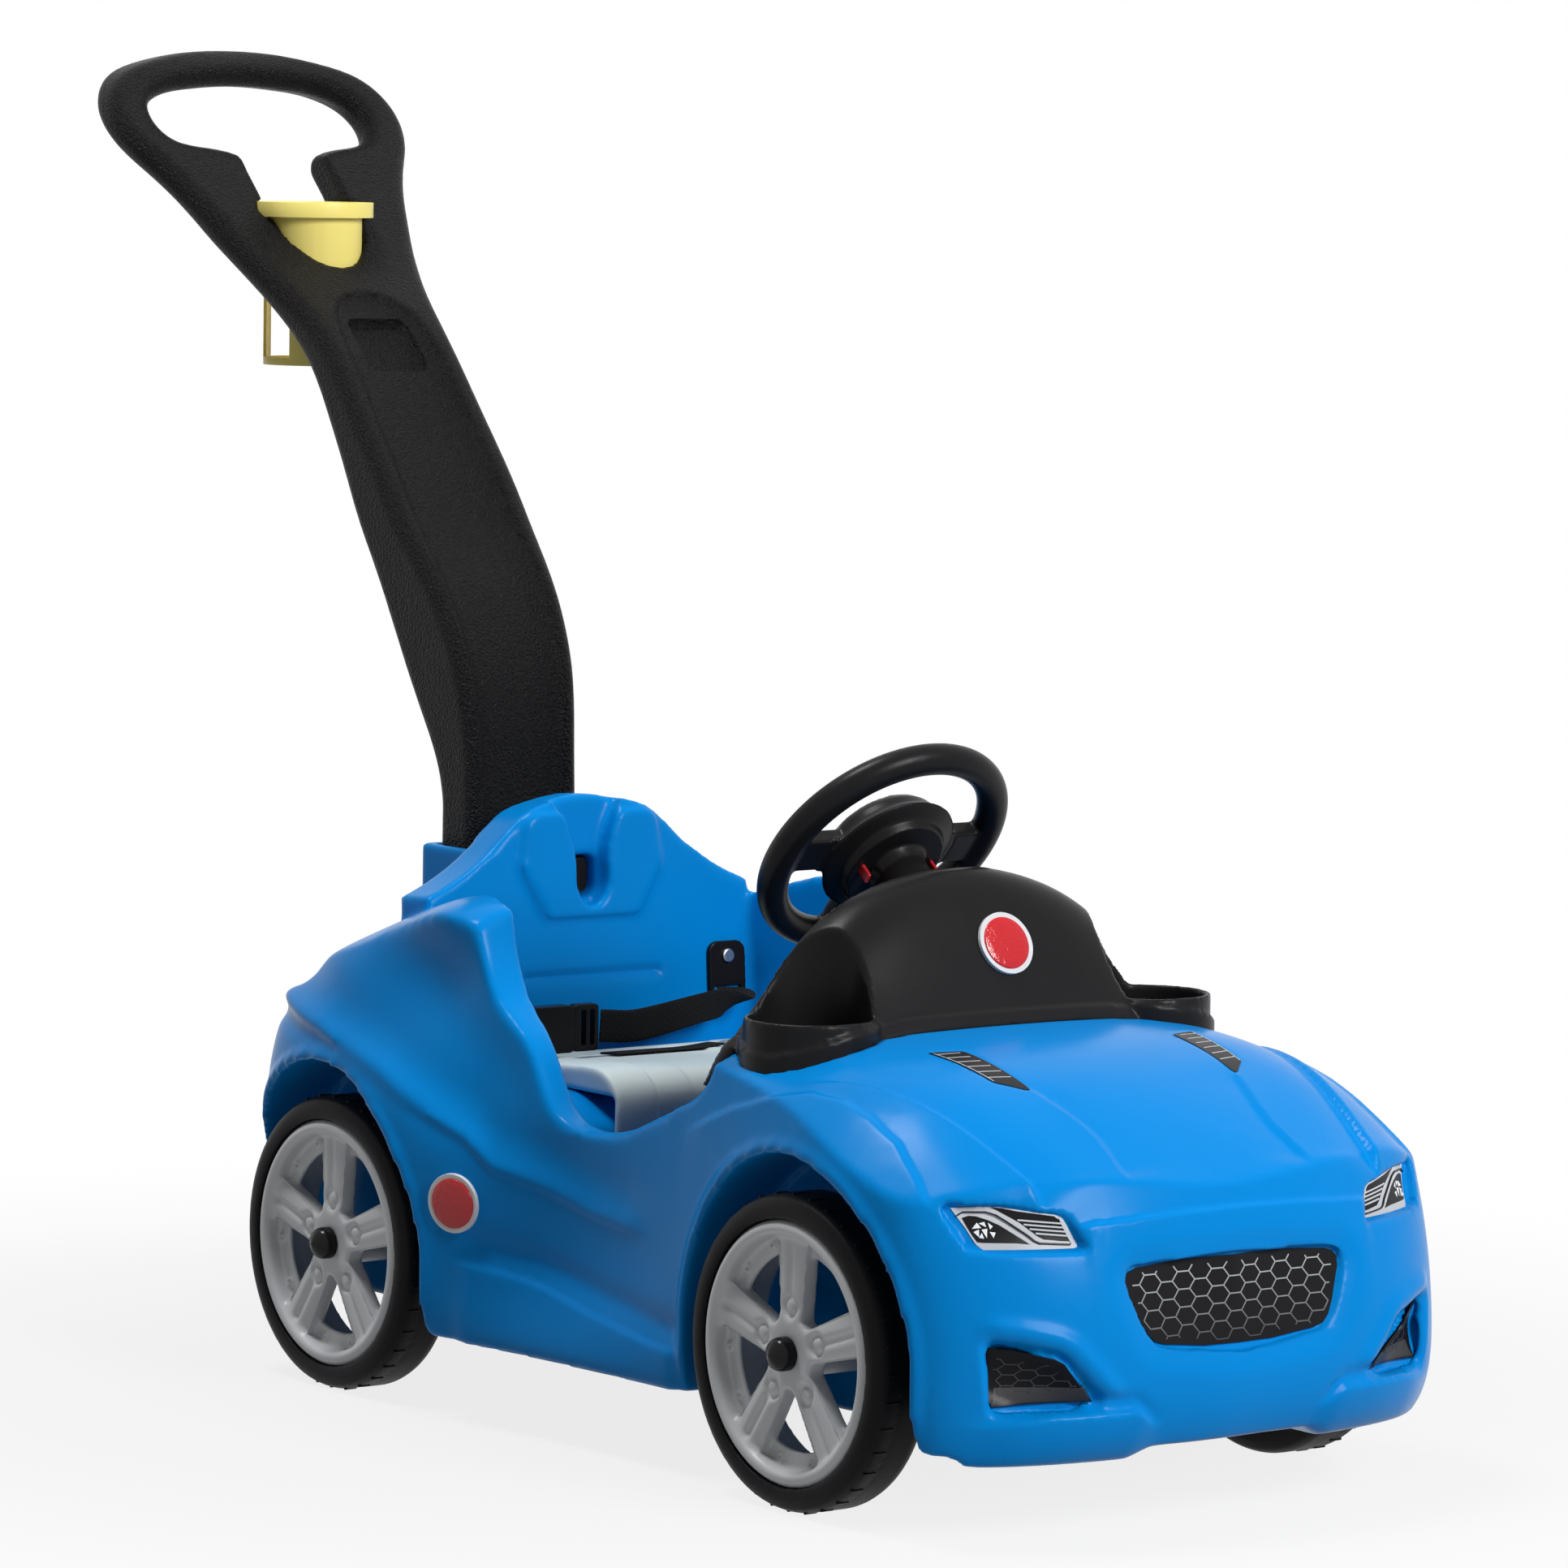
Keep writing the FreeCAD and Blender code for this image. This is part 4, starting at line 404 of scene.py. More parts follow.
def printed(name, low, high, z_low, z_high, roughness=0.28):
    """Printed vinyl: one ink fading into another with height, with a slight mottle under a clear gloss."""
    finish = moulded(name, high, roughness, 0.003, 0.00001, specular=0.07)
    tree = finish.node_tree
    place, tint = node_of(tree, "TEX_COORD"), node_of(tree, "MIX")
    tint.inputs[6].default_value = low + (1,)
    tint.inputs[7].default_value = high + (1,)
    split = tree.nodes.new("ShaderNodeSeparateXYZ")
    fade = tree.nodes.new("ShaderNodeMapRange")
    fade.inputs["From Min"].default_value = z_low
    fade.inputs["From Max"].default_value = z_high
    tree.links.new(place.outputs["Object"], split.inputs["Vector"])
    tree.links.new(split.outputs["Z"], fade.inputs["Value"])
    tree.links.new(fade.outputs["Result"], tint.inputs[0])
    return finish


ink_black = printed("black_print", (0.008, 0.008, 0.009), (0.014, 0.014, 0.016), 0.09, 0.3)
ink_silver = printed("silver_print", (0.42, 0.44, 0.47), (0.62, 0.64, 0.67), 0.198, 0.229, 0.2)
# White ink for the painted highlights laid on the head-lamp lenses.
ink_highlight = printed("painted_highlight_print", (0.78, 0.8, 0.82), (0.86, 0.87, 0.88), 0.198, 0.229, 0.2)
ink_net = printed("net_print", (0.05, 0.052, 0.055), (0.42, 0.43, 0.44), 0.13, 0.186)
ink_carbon = printed("carbon_print", (0.03, 0.03, 0.032), (0.06, 0.06, 0.064), 0.095, 0.108)

# Head lamps: a silver plate, a dark lens with white shards that are painted highlights, a dark field with
# bars and one line between.
lamp_lens = [(196.5, 220.5), (192.5, 222), (188, 221.5), (181.5, 219), (175, 215.5), (158.5, 203),
             (167.5, 204), (188, 204.5), (191, 205), (193.5, 211.5)]
lamp_glints = [[(192, 213.5), (188.5, 217.5), (186.5, 214)], [(187.5, 217), (184, 218), (183.5, 214.5)],
               [(191.5, 211.5), (188, 213), (189, 208)], [(186.5, 213), (183, 213.5), (184.5, 207.5)],
               [(182, 217.5), (179.5, 215), (181.5, 213)], [(182, 211.5), (178.5, 211), (180.5, 207.5)],
               [(189.5, 207.5), (186.5, 207), (187, 210.5)]]
lamp_dark = [(180, 227.5), (173.5, 227), (165, 225), (140.5, 221), (136.5, 218), (130, 204), (137, 204.5),
             (149, 206), (152.5, 208), (162.5, 217), (176, 225.5)]
lamp_line = [(199, 222), (195.5, 224.5), (182.5, 224.5), (177, 222.5), (171.5, 218.5), (159.5, 209),
             (155.5, 205), (152.5, 203.5), (131.5, 202)]
lamp_bars = [[(164 - 3.5 * i, 219 - 3 * i), (135.5 - i, 216 - 2.75 * i)] for i in range(4)]
lamp_bars += [[(130, 202.5), (133.5, 211), (137, 220)]]
film("lamp_films", mirrored([lamp_edge]), "lamp", 0, ink_silver)
film("lamp_shades", mirrored([lamp_lens, lamp_dark] + strokes([lamp_line], 0.9)), "lamp", 1, ink_black)
film("lamp_bars", mirrored(strokes(lamp_bars, 1.1)), "lamp", 2, ink_silver)
# Painted highlights: white shards laid as a film on the dark lenses.
film("lamp_glints", mirrored(lamp_glints), "lamp", 2, ink_highlight)

# Fog lamps, grille and hood vents: black plates with a honeycomb net or slats printed on them.
fog_band = [(184, 107.5), (134, 107.5), (126.5, 98), (188, 96.5)]
film("fog_films", mirrored([fog_edge]), "fog", 0, ink_black)
film("fog_bands", mirrored([fog_band]), "fog", 1, ink_carbon)
film("fog_nets", mirrored(strokes(honeycomb(fog_edge, 9.8, 7.5, 6), 0.6)), "fog", 2, ink_carbon)

film("grille_film", [grille_edge], "grille", 0, ink_black)
film("grille_net", strokes(honeycomb(grille_edge, 14.5, 11.9, 3), 0.9), "grille", 1, ink_net)

vent_slats = [[(117, -297), (110.5, -356)]]
vent_slats += [[(116.5 - 1.1 * i, -300 - 10 * i), (99 - i, -304 - 10 * i)] for i in range(6)]
film("vent_films", mirrored([vent_edge]), "vent", 0, ink_black)
film("vent_slats", mirrored(strokes(vent_slats, 0.9)), "vent", 1, ink_net)

# Dashboard: a separate black satin moulding that fills the cowl between hood and cockpit.
# It is injection moulded with two cup wells and screwed down from below.
dash = merged_copy("dashboard", "dash_moulding")
softened(dash, 0.0022, 4)
skin_tree = BVHTree.FromObject(body, bpy.context.evaluated_depsgraph_get())
spots, ways = read_points(dash)
reach_out, flange_proud = 0.03, 3.2
near_hood = np.array([skin_tree.find_nearest(Vector(spot), reach_out)[3] or reach_out for spot in spots]) * mm
flange = flange_proud * ease(near_hood, 13.5, 11.5) * ease(np.abs(ways[:, 2]), 0.97, 0.8)
write_points(dash, spots + ways * (1, 1, 0) * flange[:, None] / mm)
worked(dash, "SMOOTH", factor=0.4, iterations=1)
bpy.ops.object.shade_smooth()
satin = moulded("black_satin", (0.008, 0.008, 0.0085), 0.32, 0.0009, 0.00006, specular=0.09)
fitted(dash, satin, "car", "black_satin", "dashboard")

# Seat panel: a light grey moulded insert that lies in the blue seat and rolls over its front edge.
# It is clipped in, and the belt lies across it.
panel = merged_copy("seat_panel", "seat_insert")
softened(panel, 0.0018, 8)
spots, ways = read_points(panel)
out = np.abs(spots[:, 0]) * mm
border_step, middle_step = 2.4, 1.8
dish = border_step * ease(out, 96, 92) + middle_step * ease(out, 62, 57)
dish = dish * ease(ways[:, 2] - ways[:, 1], 0.4, 0.8)
write_points(panel, spots - ways * dish[:, None] / mm)
worked(panel, "SMOOTH", factor=0.4, iterations=1)
bpy.ops.object.shade_smooth()
seat_grey = moulded("seat_grey", (0.58, 0.67, 0.67), 0.42, 0.001, 0.00005, specular=0.2)
fitted(panel, seat_grey, "car", "seat_grey", "seat_panel")

# Push handle: a tall blow-moulded black post that ends in a grip loop, with a coarse grained skin.
# It slides into the seat back and a sprung button holds it.
grip = merged_copy("push_handle", "handle_post")
softened(grip, 0.0028, 4)
# Rounded-square recess on the arm's front: its height, half-sizes inside the corners, and depth.
recess_up, recess_half, recess_tall, recess_deep = 769.5, 21, 13, 0.0048
bpy.ops.object.mode_set(mode="EDIT")
bpy.ops.mesh.select_mode(type="FACE")
bpy.ops.mesh.select_all(action="DESELECT")
bpy.ops.object.mode_set(mode="OBJECT")
for face in grip.data.polygons:
    near_recess = abs(face.center.x) < 0.036 and abs(face.center.z - recess_up / mm) < 0.03
    face.select = near_recess and face.normal.y < -0.3
bpy.ops.object.mode_set(mode="EDIT")
bpy.ops.mesh.subdivide(number_cuts=2)
bpy.ops.object.mode_set(mode="OBJECT")
spots, ways = read_points(grip)
u, v = np.abs(spots[:, 0]) * mm, spots[:, 2] * mm
off_recess = np.hypot(np.maximum(u - recess_half, 0), np.maximum(np.abs(v - recess_up) - recess_tall, 0))
recess = ease(off_recess, 7.4, 5.8) + 0.35 * ease(off_recess, 4.2, 3.2)
recess = recess * ease(-ways[:, 1], 0.1, 0.3)
write_points(grip, spots - ways * recess[:, None] * recess_deep)
bpy.ops.object.shade_smooth()
grained = moulded("grained_black", (0.0085, 0.0085, 0.009), 0.3, 0.002, 0.004, specular=0.06)
fitted(grip, grained, "handle", "handle_black", "push_handle")

# Cup holder: a thin yellow injection-moulded cup with a rolled rim over an open cage.
# It hangs in the notches behind the handle.
cup = merged_copy("cup_holder", "cup_basket")
only(cup)
bpy.ops.object.mode_set(mode="EDIT")
bpy.ops.mesh.select_all(action="SELECT")
bpy.ops.mesh.dissolve_limited(angle_limit=math.radians(1))
bpy.ops.object.mode_set(mode="OBJECT")
worked(cup, "BEVEL", width=0.0009, segments=3, limit_method="ANGLE", angle_limit=math.radians(40))
bpy.ops.object.shade_smooth_by_angle(angle=math.radians(30))
yellow = moulded("yellow_plastic", (1.0, 0.84, 0.24), 0.35, 0.001, 0.00004, specular=0.2)
fitted(cup, yellow, "handle", "cup_yellow", "cup_holder")

# Wheels: grey spoked plastic rims with black tyres shrunk on, one rim and one tyre moulded for all four.
# They turn on steel axles and are held by black domed caps pressed on outside.
hub = Vector((0, axle_front, axle_up))
face_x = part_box("rim_front_right")[0].x
spokes, spoke_turn = 5, 2 * math.pi / 5
rim_voxel, rim_triangles = 0.0013, 70000


def polar(points):
    """Angle of points round the front axle and their distance from it in millimetres."""
    up, along = points[:, 2] - hub.z, points[:, 1] - hub.y
    return np.arctan2(up, along), np.hypot(up, along) * mm


def pick_caps(sides):
    """Go into edit mode with only a cylinder's two end faces selected."""
    bpy.ops.object.mode_set(mode="EDIT")
    bpy.ops.mesh.select_mode(type="FACE")
    bpy.ops.mesh.select_all(action="DESELECT")
    bpy.ops.mesh.select_face_by_sides(number=sides)


def joined(piece, others):
    """Join other objects into a piece."""
    only(piece)
    for other in others:
        other.select_set(True)
    bpy.ops.object.join()


rim = merged_copy("rim_front_right", "rim_skin_front_right")
softened(rim, rim_voxel, 1)
spots = read_points(rim)[0]
turn, reach = polar(spots)
on_spoke = (reach > 50) & (reach < 75) & (spots[:, 0] < face_x + 0.008)
phase = np.angle(np.mean(np.exp(1j * spokes * turn[on_spoke]))) / spokes
# A ledge ring deep between the spokes, with a pair of round knobs in each gap.
ledge_sides, ledge_radius, ledge_wide, knob_reach, knob_radius = 96, 0.0845, 0.0155, 0.077, 0.0036
bpy.ops.mesh.primitive_cylinder_add(vertices=ledge_sides, radius=ledge_radius, depth=0.004,
                                    end_fill_type="NGON", location=(face_x + 0.0165, hub.y, hub.z),
                                    rotation=(0, math.pi / 2, 0))
ledge_ring = bpy.context.object
bpy.ops.object.transform_apply(location=True, rotation=True, scale=True)
pick_caps(ledge_sides)
bpy.ops.mesh.inset(thickness=ledge_wide, use_individual=True)
bpy.ops.mesh.bridge_edge_loops()
bpy.ops.object.mode_set(mode="OBJECT")
knobs = [ledge_ring]
for step in range(spokes):
    for aside in (-13, 13):
        angle = phase + spoke_turn * (step + 0.5) + math.radians(aside)
        place = (face_x + 0.0148, hub.y + knob_reach * math.cos(angle), hub.z + knob_reach * math.sin(angle))
        bpy.ops.mesh.primitive_uv_sphere_add(segments=16, ring_count=8, radius=knob_radius, location=place)
        bpy.ops.object.transform_apply(location=True, rotation=True, scale=True)
        knobs.append(bpy.context.object)
joined(rim, knobs)
softened(rim, rim_voxel, 5)
# Each spoke is crowned: it falls away from its middle line to both sides.
crown_curve, crown_half = 0.014, 18
spots, ways = read_points(rim)
turn, reach = polar(spots)
aside = reach * np.abs(np.sin((turn - phase + spoke_turn / 2) % spoke_turn - spoke_turn / 2))
crown = crown_curve * np.minimum(aside, crown_half) ** 2
crown = crown * ease(-ways[:, 0], 0.1, 0.6) * ease(reach, 26, 34) * ease(reach, 83, 76)
spots[:, 0] += np.where(spots[:, 0] < face_x + 0.012, crown, 0) / mm
write_points(rim, spots)
worked(rim, "SMOOTH", factor=0.5, iterations=2)
worked(rim, "DECIMATE", ratio=min(1.0, rim_triangles / (2 * len(rim.data.polygons))))
bpy.ops.object.shade_smooth()
rim_grey = moulded("rim_grey", (0.58, 0.595, 0.61), 0.36, 0.0008, 0.00004, specular=0.3)
rubber = moulded("tyre_black", (0.0075, 0.0075, 0.008), 0.45, 0.0007, 0.00008, specular=0.07)
# The tyre carries short moulded ticks across its tread.
tick_count, tick_size = 36, (0.0105, 0.002, 0.003)
tyre = merged_copy("tyre_front_right", "tyre_skin_front_right")
tyre_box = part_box("tyre_front_right")
softened(tyre, 0.0018, 5)
bpy.ops.mesh.primitive_cube_add(size=1, location=(tyre_box[0].x + 0.0125, hub.y, tyre_box[1].z - 0.0008))
tick = bpy.context.object
tick.scale = tick_size
bpy.ops.object.transform_apply(location=True, rotation=True, scale=True)
worked(tick, "BEVEL", width=0.0005, segments=2)
ticks = [tick]
for step in range(1, tick_count):
    turned = Matrix.Rotation(2 * math.pi * step / tick_count, 4, "X")
    ticks.append(added("tick", tick.data.copy()))
    ticks[-1].data.transform(Matrix.Translation(hub) @ turned @ Matrix.Translation(-hub))
joined(tyre, ticks)
bpy.ops.object.shade_smooth_by_angle(angle=math.radians(40))
# The caps are domed: the drawn drum closes in towards its outer end and is a little lower.
dome_close, dome_tall = 0.97, 0.8
cap = merged_copy("hub_cap_front_right", "cap_skin_front_right")
softened(cap, 0.0006, 4)
spots = read_points(cap)[0]
proud = np.clip((face_x - spots[:, 0]) / (face_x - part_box("hub_cap_front_right")[0].x), 0, 1)
round_off = np.sqrt(np.maximum(1 - dome_close * proud ** 2, 0))
spots[:, 1] = hub.y + (spots[:, 1] - hub.y) * round_off
spots[:, 2] = hub.z + (spots[:, 2] - hub.z) * round_off
spots[:, 0] = np.where(spots[:, 0] < face_x, face_x + (spots[:, 0] - face_x) * dome_tall, spots[:, 0])
write_points(cap, spots)
worked(cap, "SMOOTH", factor=0.5, iterations=3)
bpy.ops.object.shade_smooth()
cap_black = moulded("cap_black", (0.008, 0.008, 0.0085), 0.18, 0.0008, 0.00003, specular=0.15)
for end, axle in (("front", axle_front), ("rear", axle_rear)):
    for hand in ("right", "left"):
        tag = end + "_" + hand
        for model, kind, finish, slot, rides in ((rim, "rim", rim_grey, "rim_grey", "wheel_" + tag),
                                                 (tyre, "tyre", rubber, "tyre_black", "wheel_" + tag),
                                                 (cap, "cap", cap_black, "cap_black", "car")):
            piece = model
            if tag != "front_right":
                piece = added(kind + "_skin_" + tag, model.data.copy())
                move = Matrix.Translation((0, axle, 0))
                if hand == "left":
                    move @= Matrix.Rotation(math.pi, 4, "Z")
                piece.data.transform(move @ Matrix.Translation((0, -axle_front, 0)))
            node = ("hub_cap_" if kind == "cap" else kind + "_") + tag
            fitted(piece, finish, rides, slot, node)

# Steering wheel: a thick-rimmed black moulding with two arms and a leg, on a short column.
# The column turns in the dash, and the red horn button clips into the hub.
wheel = merged_copy("steering_wheel", "steering_rim")
softened(wheel, 0.0016, 3)
steer = next(joint for joint in frame["joints"] if joint["name"] == "steer")
wheel_centre, wheel_axis = np.array(steer["pos_m"]), np.array(steer["axis"])


def hub_shaped(piece):
    """Give the drum-shaped hub its stepped, flared back and eased front edge."""
    hub_radius, step_at, step_share = 35.5, -6, 0.72
    spots = read_points(piece)[0]
    arm = spots - wheel_centre
    height = arm @ wheel_axis
    spread = arm - height[:, None] * wheel_axis
    far = np.linalg.norm(spread, axis=1) * mm
    height = height * mm
    swell = np.interp(height, (-27, -25, -17, -9, -2, 6, 12), (0.3, 0.35, 0.6, 1.75, 1.2, 1.0, 0.6))
    rim_part = ease(far, 34.5, 36) * ease(far, 60, 47)
    wanted = far + rim_part * (hub_radius + (far - hub_radius) * swell - far)
    sunk = np.where(height < step_at, step_at + (height - step_at) * step_share, height) - height
    sunk *= ease(far, 60, 47) * ease(far, 20.5, 23)
    spots = wheel_centre + spread * (wanted / np.maximum(far, 1e-6))[:, None] \
        + ((height + sunk) / mm)[:, None] * wheel_axis
    write_points(piece, spots)
    worked(piece, "SMOOTH", factor=0.5, iterations=3)
    bpy.ops.object.shade_smooth()


hub_shaped(wheel)
fitted(wheel, satin, "steering", "black_satin", "steering_wheel")
horn = merged_copy("horn_button", "horn_press")
softened(horn, 0.0008, 4)
red = moulded("red_plastic", (0.42, 0.012, 0.018), 0.3, 0.0008, 0.00003)
fitted(horn, red, "horn", "horn_red", "horn_button")

# Lap belt: black woven webbing from two riveted plates to a side-release buckle.
# The loose end of the left strap lies on the seat.
buckle_black = moulded("buckle_black", (0.008, 0.008, 0.0085), 0.25, 0.0007, 0.00003, specular=0.1)


def strap(name, runs, wide, thick):
    """A woven strap along smooth runs of (point, width direction) pairs, its length in the UV map."""
    top = [(-0.5, 0), (-0.47, 0.42), (-0.36, 0.5), (-0.12, 0.47), (0.12, 0.47), (0.36, 0.5), (0.47, 0.42)]
    profile = top + [(-u, -v) for u, v in top]
    n = len(profile)
    corners, faces, marks = [], [], []
    for run in runs:
        knots = np.array([p for p, w in run])
        turns = np.array([Vector(w).normalized() for p, w in run])
        first, last = 2 * knots[0] - knots[1], 2 * knots[-1] - knots[-2]
        hull = np.vstack((first, knots, last))
        line, lean = [], []
        for i in range(len(knots) - 1):
            a, b, c, d = hull[i:i + 4]
            for t in np.linspace(0, 1, 14, endpoint=i == len(knots) - 2):
                line.append(0.5 * (2 * b + (c - a) * t + (2 * a - 5 * b + 4 * c - d) * t ** 2
                                   + (3 * b - a - 3 * c + d) * t ** 3))
                lean.append(turns[i] * (1 - ease(t, 0, 1)) + turns[i + 1] * ease(t, 0, 1))
        line, lean = np.array(line), np.array(lean)
        along = np.gradient(line, axis=0)
        along /= np.linalg.norm(along, axis=1)[:, None]
        across = lean - along * (lean * along).sum(1)[:, None]
        across /= np.linalg.norm(across, axis=1)[:, None]
        face = np.cross(along, across)
        travel = np.concatenate(([0], np.cumsum(np.linalg.norm(np.diff(line, axis=0), axis=1))))
        start = len(corners)
        for p, a, f, far in zip(line, across, face, travel):
            for u, v in profile:
                corners.append(p + a * u * wide + f * v * thick)
                marks.append((u * wide, far))
        for i in range(len(line) - 1):
            here, there = start + i * n, start + (i + 1) * n
            for j in range(n):
                k = (j + 1) % n
                faces.append([here + j, here + k, there + k, there + j])
        faces.append([start + j for j in range(n)])
        faces.append([start + (len(line) - 1) * n + j for j in reversed(range(n))])
    mesh = bpy.data.meshes.new(name)
    mesh.from_pydata([tuple(c) for c in corners], [], faces)
    layer = mesh.uv_layers.new(name="weave")
    for loop in mesh.loops:
        layer.data[loop.index].uv = marks[loop.vertex_index]
    piece = added(name, mesh)
    only(piece)
    bpy.ops.object.mode_set(mode="EDIT")
    bpy.ops.mesh.select_all(action="SELECT")
    bpy.ops.mesh.normals_make_consistent(inside=False)
    bpy.ops.object.mode_set(mode="OBJECT")
    bpy.ops.object.shade_smooth_by_angle(angle=math.radians(50))
    return piece


def woven(name, colour):
    """Twill webbing: fine ribs across the strap's width, crossed by slanting picks along its length, with
    painted shade in the weave's hollows and a painted sheen on its raised crossings.
    """
    finish = moulded(name, colour, 0.75, 0.0006, 0.00008, drift=0.15, specular=0.1)
    tree = finish.node_tree
    place, bump, tint = node_of(tree, "TEX_COORD"), node_of(tree, "BUMP"), node_of(tree, "MIX")
    ribs = tree.nodes.new("ShaderNodeTexWave")
    ribs.inputs["Scale"].default_value = 190.0
    picks = tree.nodes.new("ShaderNodeTexWave")
    picks.bands_direction = "DIAGONAL"
    picks.inputs["Scale"].default_value = 130.0
    weave = tree.nodes.new("ShaderNodeMath")
    weave.operation = "MULTIPLY"
    for wave in (ribs, picks):
        tree.links.new(place.outputs["UV"], wave.inputs["Vector"])
    tree.links.new(ribs.outputs["Fac"], weave.inputs[0])
    tree.links.new(picks.outputs["Fac"], weave.inputs[1])
    tree.links.new(weave.outputs["Value"], bump.inputs["Height"])
    # Painted shade and sheen: the weave's height also sets the colour, darker in the hollows and lighter on
    # the raised crossings.
    tree.links.new(weave.outputs["Value"], tint.inputs[0])
    tint.inputs[6].default_value = tuple(c * 0.55 for c in colour) + (1,)
    tint.inputs[7].default_value = tuple(c * 1.6 for c in colour) + (1,)
    bump.inputs["Distance"].default_value = 0.0004
    return finish


webbing = woven("webbing", (0.010, 0.010, 0.0105))
belt_wide, belt_thick = 0.025, 0.0018
across, upright, twisted, half_up = (1, 0, 0), (0, 0, 1), (1, -1, 0.5), (0, -0.5, 2)
anchor, tongue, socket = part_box("belt_anchor_left"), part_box("buckle_tongue"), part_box("buckle_socket")
anchor_x, anchor_y, anchor_z = (anchor[0].x + anchor[1].x) / 2, anchor[0].y, anchor[0].z
lap_y, lap_z = (tongue[0].y + tongue[1].y) / 2, (tongue[0].z + tongue[1].z) / 2
left_run = [((anchor_x, anchor_y - 0.0017, anchor_z + 0.010), across),
            ((anchor_x - 0.004, anchor_y - 0.020, anchor_z + 0.0015), twisted),
            ((anchor_x - 0.040, lap_y + 0.0035, lap_z + 0.0085), half_up),
            ((anchor_x - 0.109, lap_y, lap_z - 0.0015), upright),
            ((tongue[1].x + 0.0043, lap_y, lap_z), upright)]
panel_tree = BVHTree.FromObject(panel, bpy.context.evaluated_depsgraph_get())
tail_run = []
for t in np.linspace(0, 1, 5):
    u, v = tongue[1].x + 0.005 + 0.098 * t, lap_y - 0.0108 - 0.0036 * t
    spot, lean = panel_tree.ray_cast(Vector((u, v, 0.4)), Vector((0, 0, -1)))[:2]
    tail_run.append((tuple(spot + lean * 0.0019), (0, lean.z, -lean.y)))
right_run = [((-anchor_x, anchor_y - 0.0017, anchor_z + 0.010), (-1, 0, 0)),
             ((0.004 - anchor_x, anchor_y - 0.023, anchor_z - 0.0033), (-1, -1, 0.5)),
             ((socket[0].x - 0.0155, lap_y + 0.002, lap_z + 0.001), half_up),
             ((socket[0].x - 0.0024, lap_y, lap_z), upright)]
for hand, runs in (("left", [left_run, tail_run]), ("right", [right_run])):
    belt = strap("strap_" + hand, runs, belt_wide, belt_thick)
    fitted(belt, webbing, "car", "webbing", "belt_strap_" + hand)
for node in ("buckle_socket", "buckle_tongue", "belt_anchor_left", "belt_anchor_right"):
    part = merged_copy(node, node + "_skin")
    softened(part, 0.0006, 4)
    fitted(part, buckle_black, "car", "buckle_black", node)

# Reflectors: three plain round red discs, each pressed into a pale plastic bezel.
# They are glued in shallow seats on the dash front and on both flanks.
red_lens = moulded("red_lens", (0.5, 0.008, 0.014), 0.16, 0.0032, 0.0006, specular=0.35)
pale_bezel = moulded("pale_bezel", (0.62, 0.63, 0.64), 0.3, 0.0008, 0.00003, specular=0.25)
dash_tree = BVHTree.FromObject(dash, bpy.context.evaluated_depsgraph_get())
disc_sides = 64
for name, onto, start, way, wide in (("dash", dash_tree, (0.014, -0.8, 0.371), (0, 1, 0), 0.023),
                                     ("right", skin_tree, (-0.6, middle + 0.116, 0.162), (1, 0, 0), 0.022),
                                     ("left", skin_tree, (0.6, middle + 0.116, 0.162), (-1, 0, 0), 0.022)):
    seat, facing = onto.ray_cast(Vector(start), Vector(way))[:2]
    facing = facing if facing.dot(Vector(way)) < 0 else -facing
    for kind, radius, deep, inner, finish in (("bezel", wide, 0.006, wide * 0.17, pale_bezel),
                                              ("lens", wide * 0.84, 0.0066, wide * 0.25, red_lens)):
        bpy.ops.mesh.primitive_cylinder_add(vertices=disc_sides, radius=radius, depth=deep)
        disc = bpy.context.object
        disc.name = "reflector_" + kind + "_" + name
        pick_caps(disc_sides)
        bpy.ops.mesh.inset(thickness=inner, depth=0.0008 if kind == "lens" else -0.0008, use_individual=True)
        bpy.ops.object.mode_set(mode="OBJECT")
        worked(disc, "BEVEL", width=0.0006, segments=3, limit_method="ANGLE", angle_limit=math.radians(30))
        disc.data.transform(Matrix.Translation(seat) @ facing.to_track_quat("Z", "Y").to_matrix().to_4x4())
        bpy.ops.object.shade_smooth_by_angle(angle=math.radians(40))
        fitted(disc, finish, "car", "horn_red" if kind == "lens" else "rim_grey")

# Running gear and small fittings: steel axles and rivets, nylon bushes and clip, black column and button.
# These are turned or moulded to the drawn shape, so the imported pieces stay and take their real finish.
steel = moulded("drawn_steel", (0.5, 0.5, 0.51), 0.3, 0.0005, 0.00001, metallic=1.0)
nylon = moulded("natural_nylon", (0.72, 0.7, 0.64), 0.45, 0.0008, 0.00003)
finishes = {"front_axle": steel, "rear_axle": steel, "belt_rivets": steel, "column_clip": nylon,
            "steering_column": satin, "handle_button": satin}
finishes.update({node: nylon for node in frame["nodes"] if node.startswith("bush_")})
for node, finish in finishes.items():
    frame["nodes"][node].data.materials.clear()
    frame["nodes"][node].data.materials.append(finish)

# Return springs: coils of round steel wire, one under the horn pad and one behind the release button.
# Each stands on a fixed seat and keeps its drawn length; nothing here shortens it by its button's travel.
for node, joint, to_button, rides in (("horn_spring", "press_horn", wheel_axis, "steering"),
                                      ("button_spring", "press_release", np.array((0, -1, 0)), "car")):
    coil = merged_copy(node, node + "_coil")
    bpy.ops.object.shade_smooth_by_angle(angle=math.radians(50))
    fitted(coil, steel, rides, "steel", node)
    spots = read_points(coil)[0]
    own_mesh(coil)

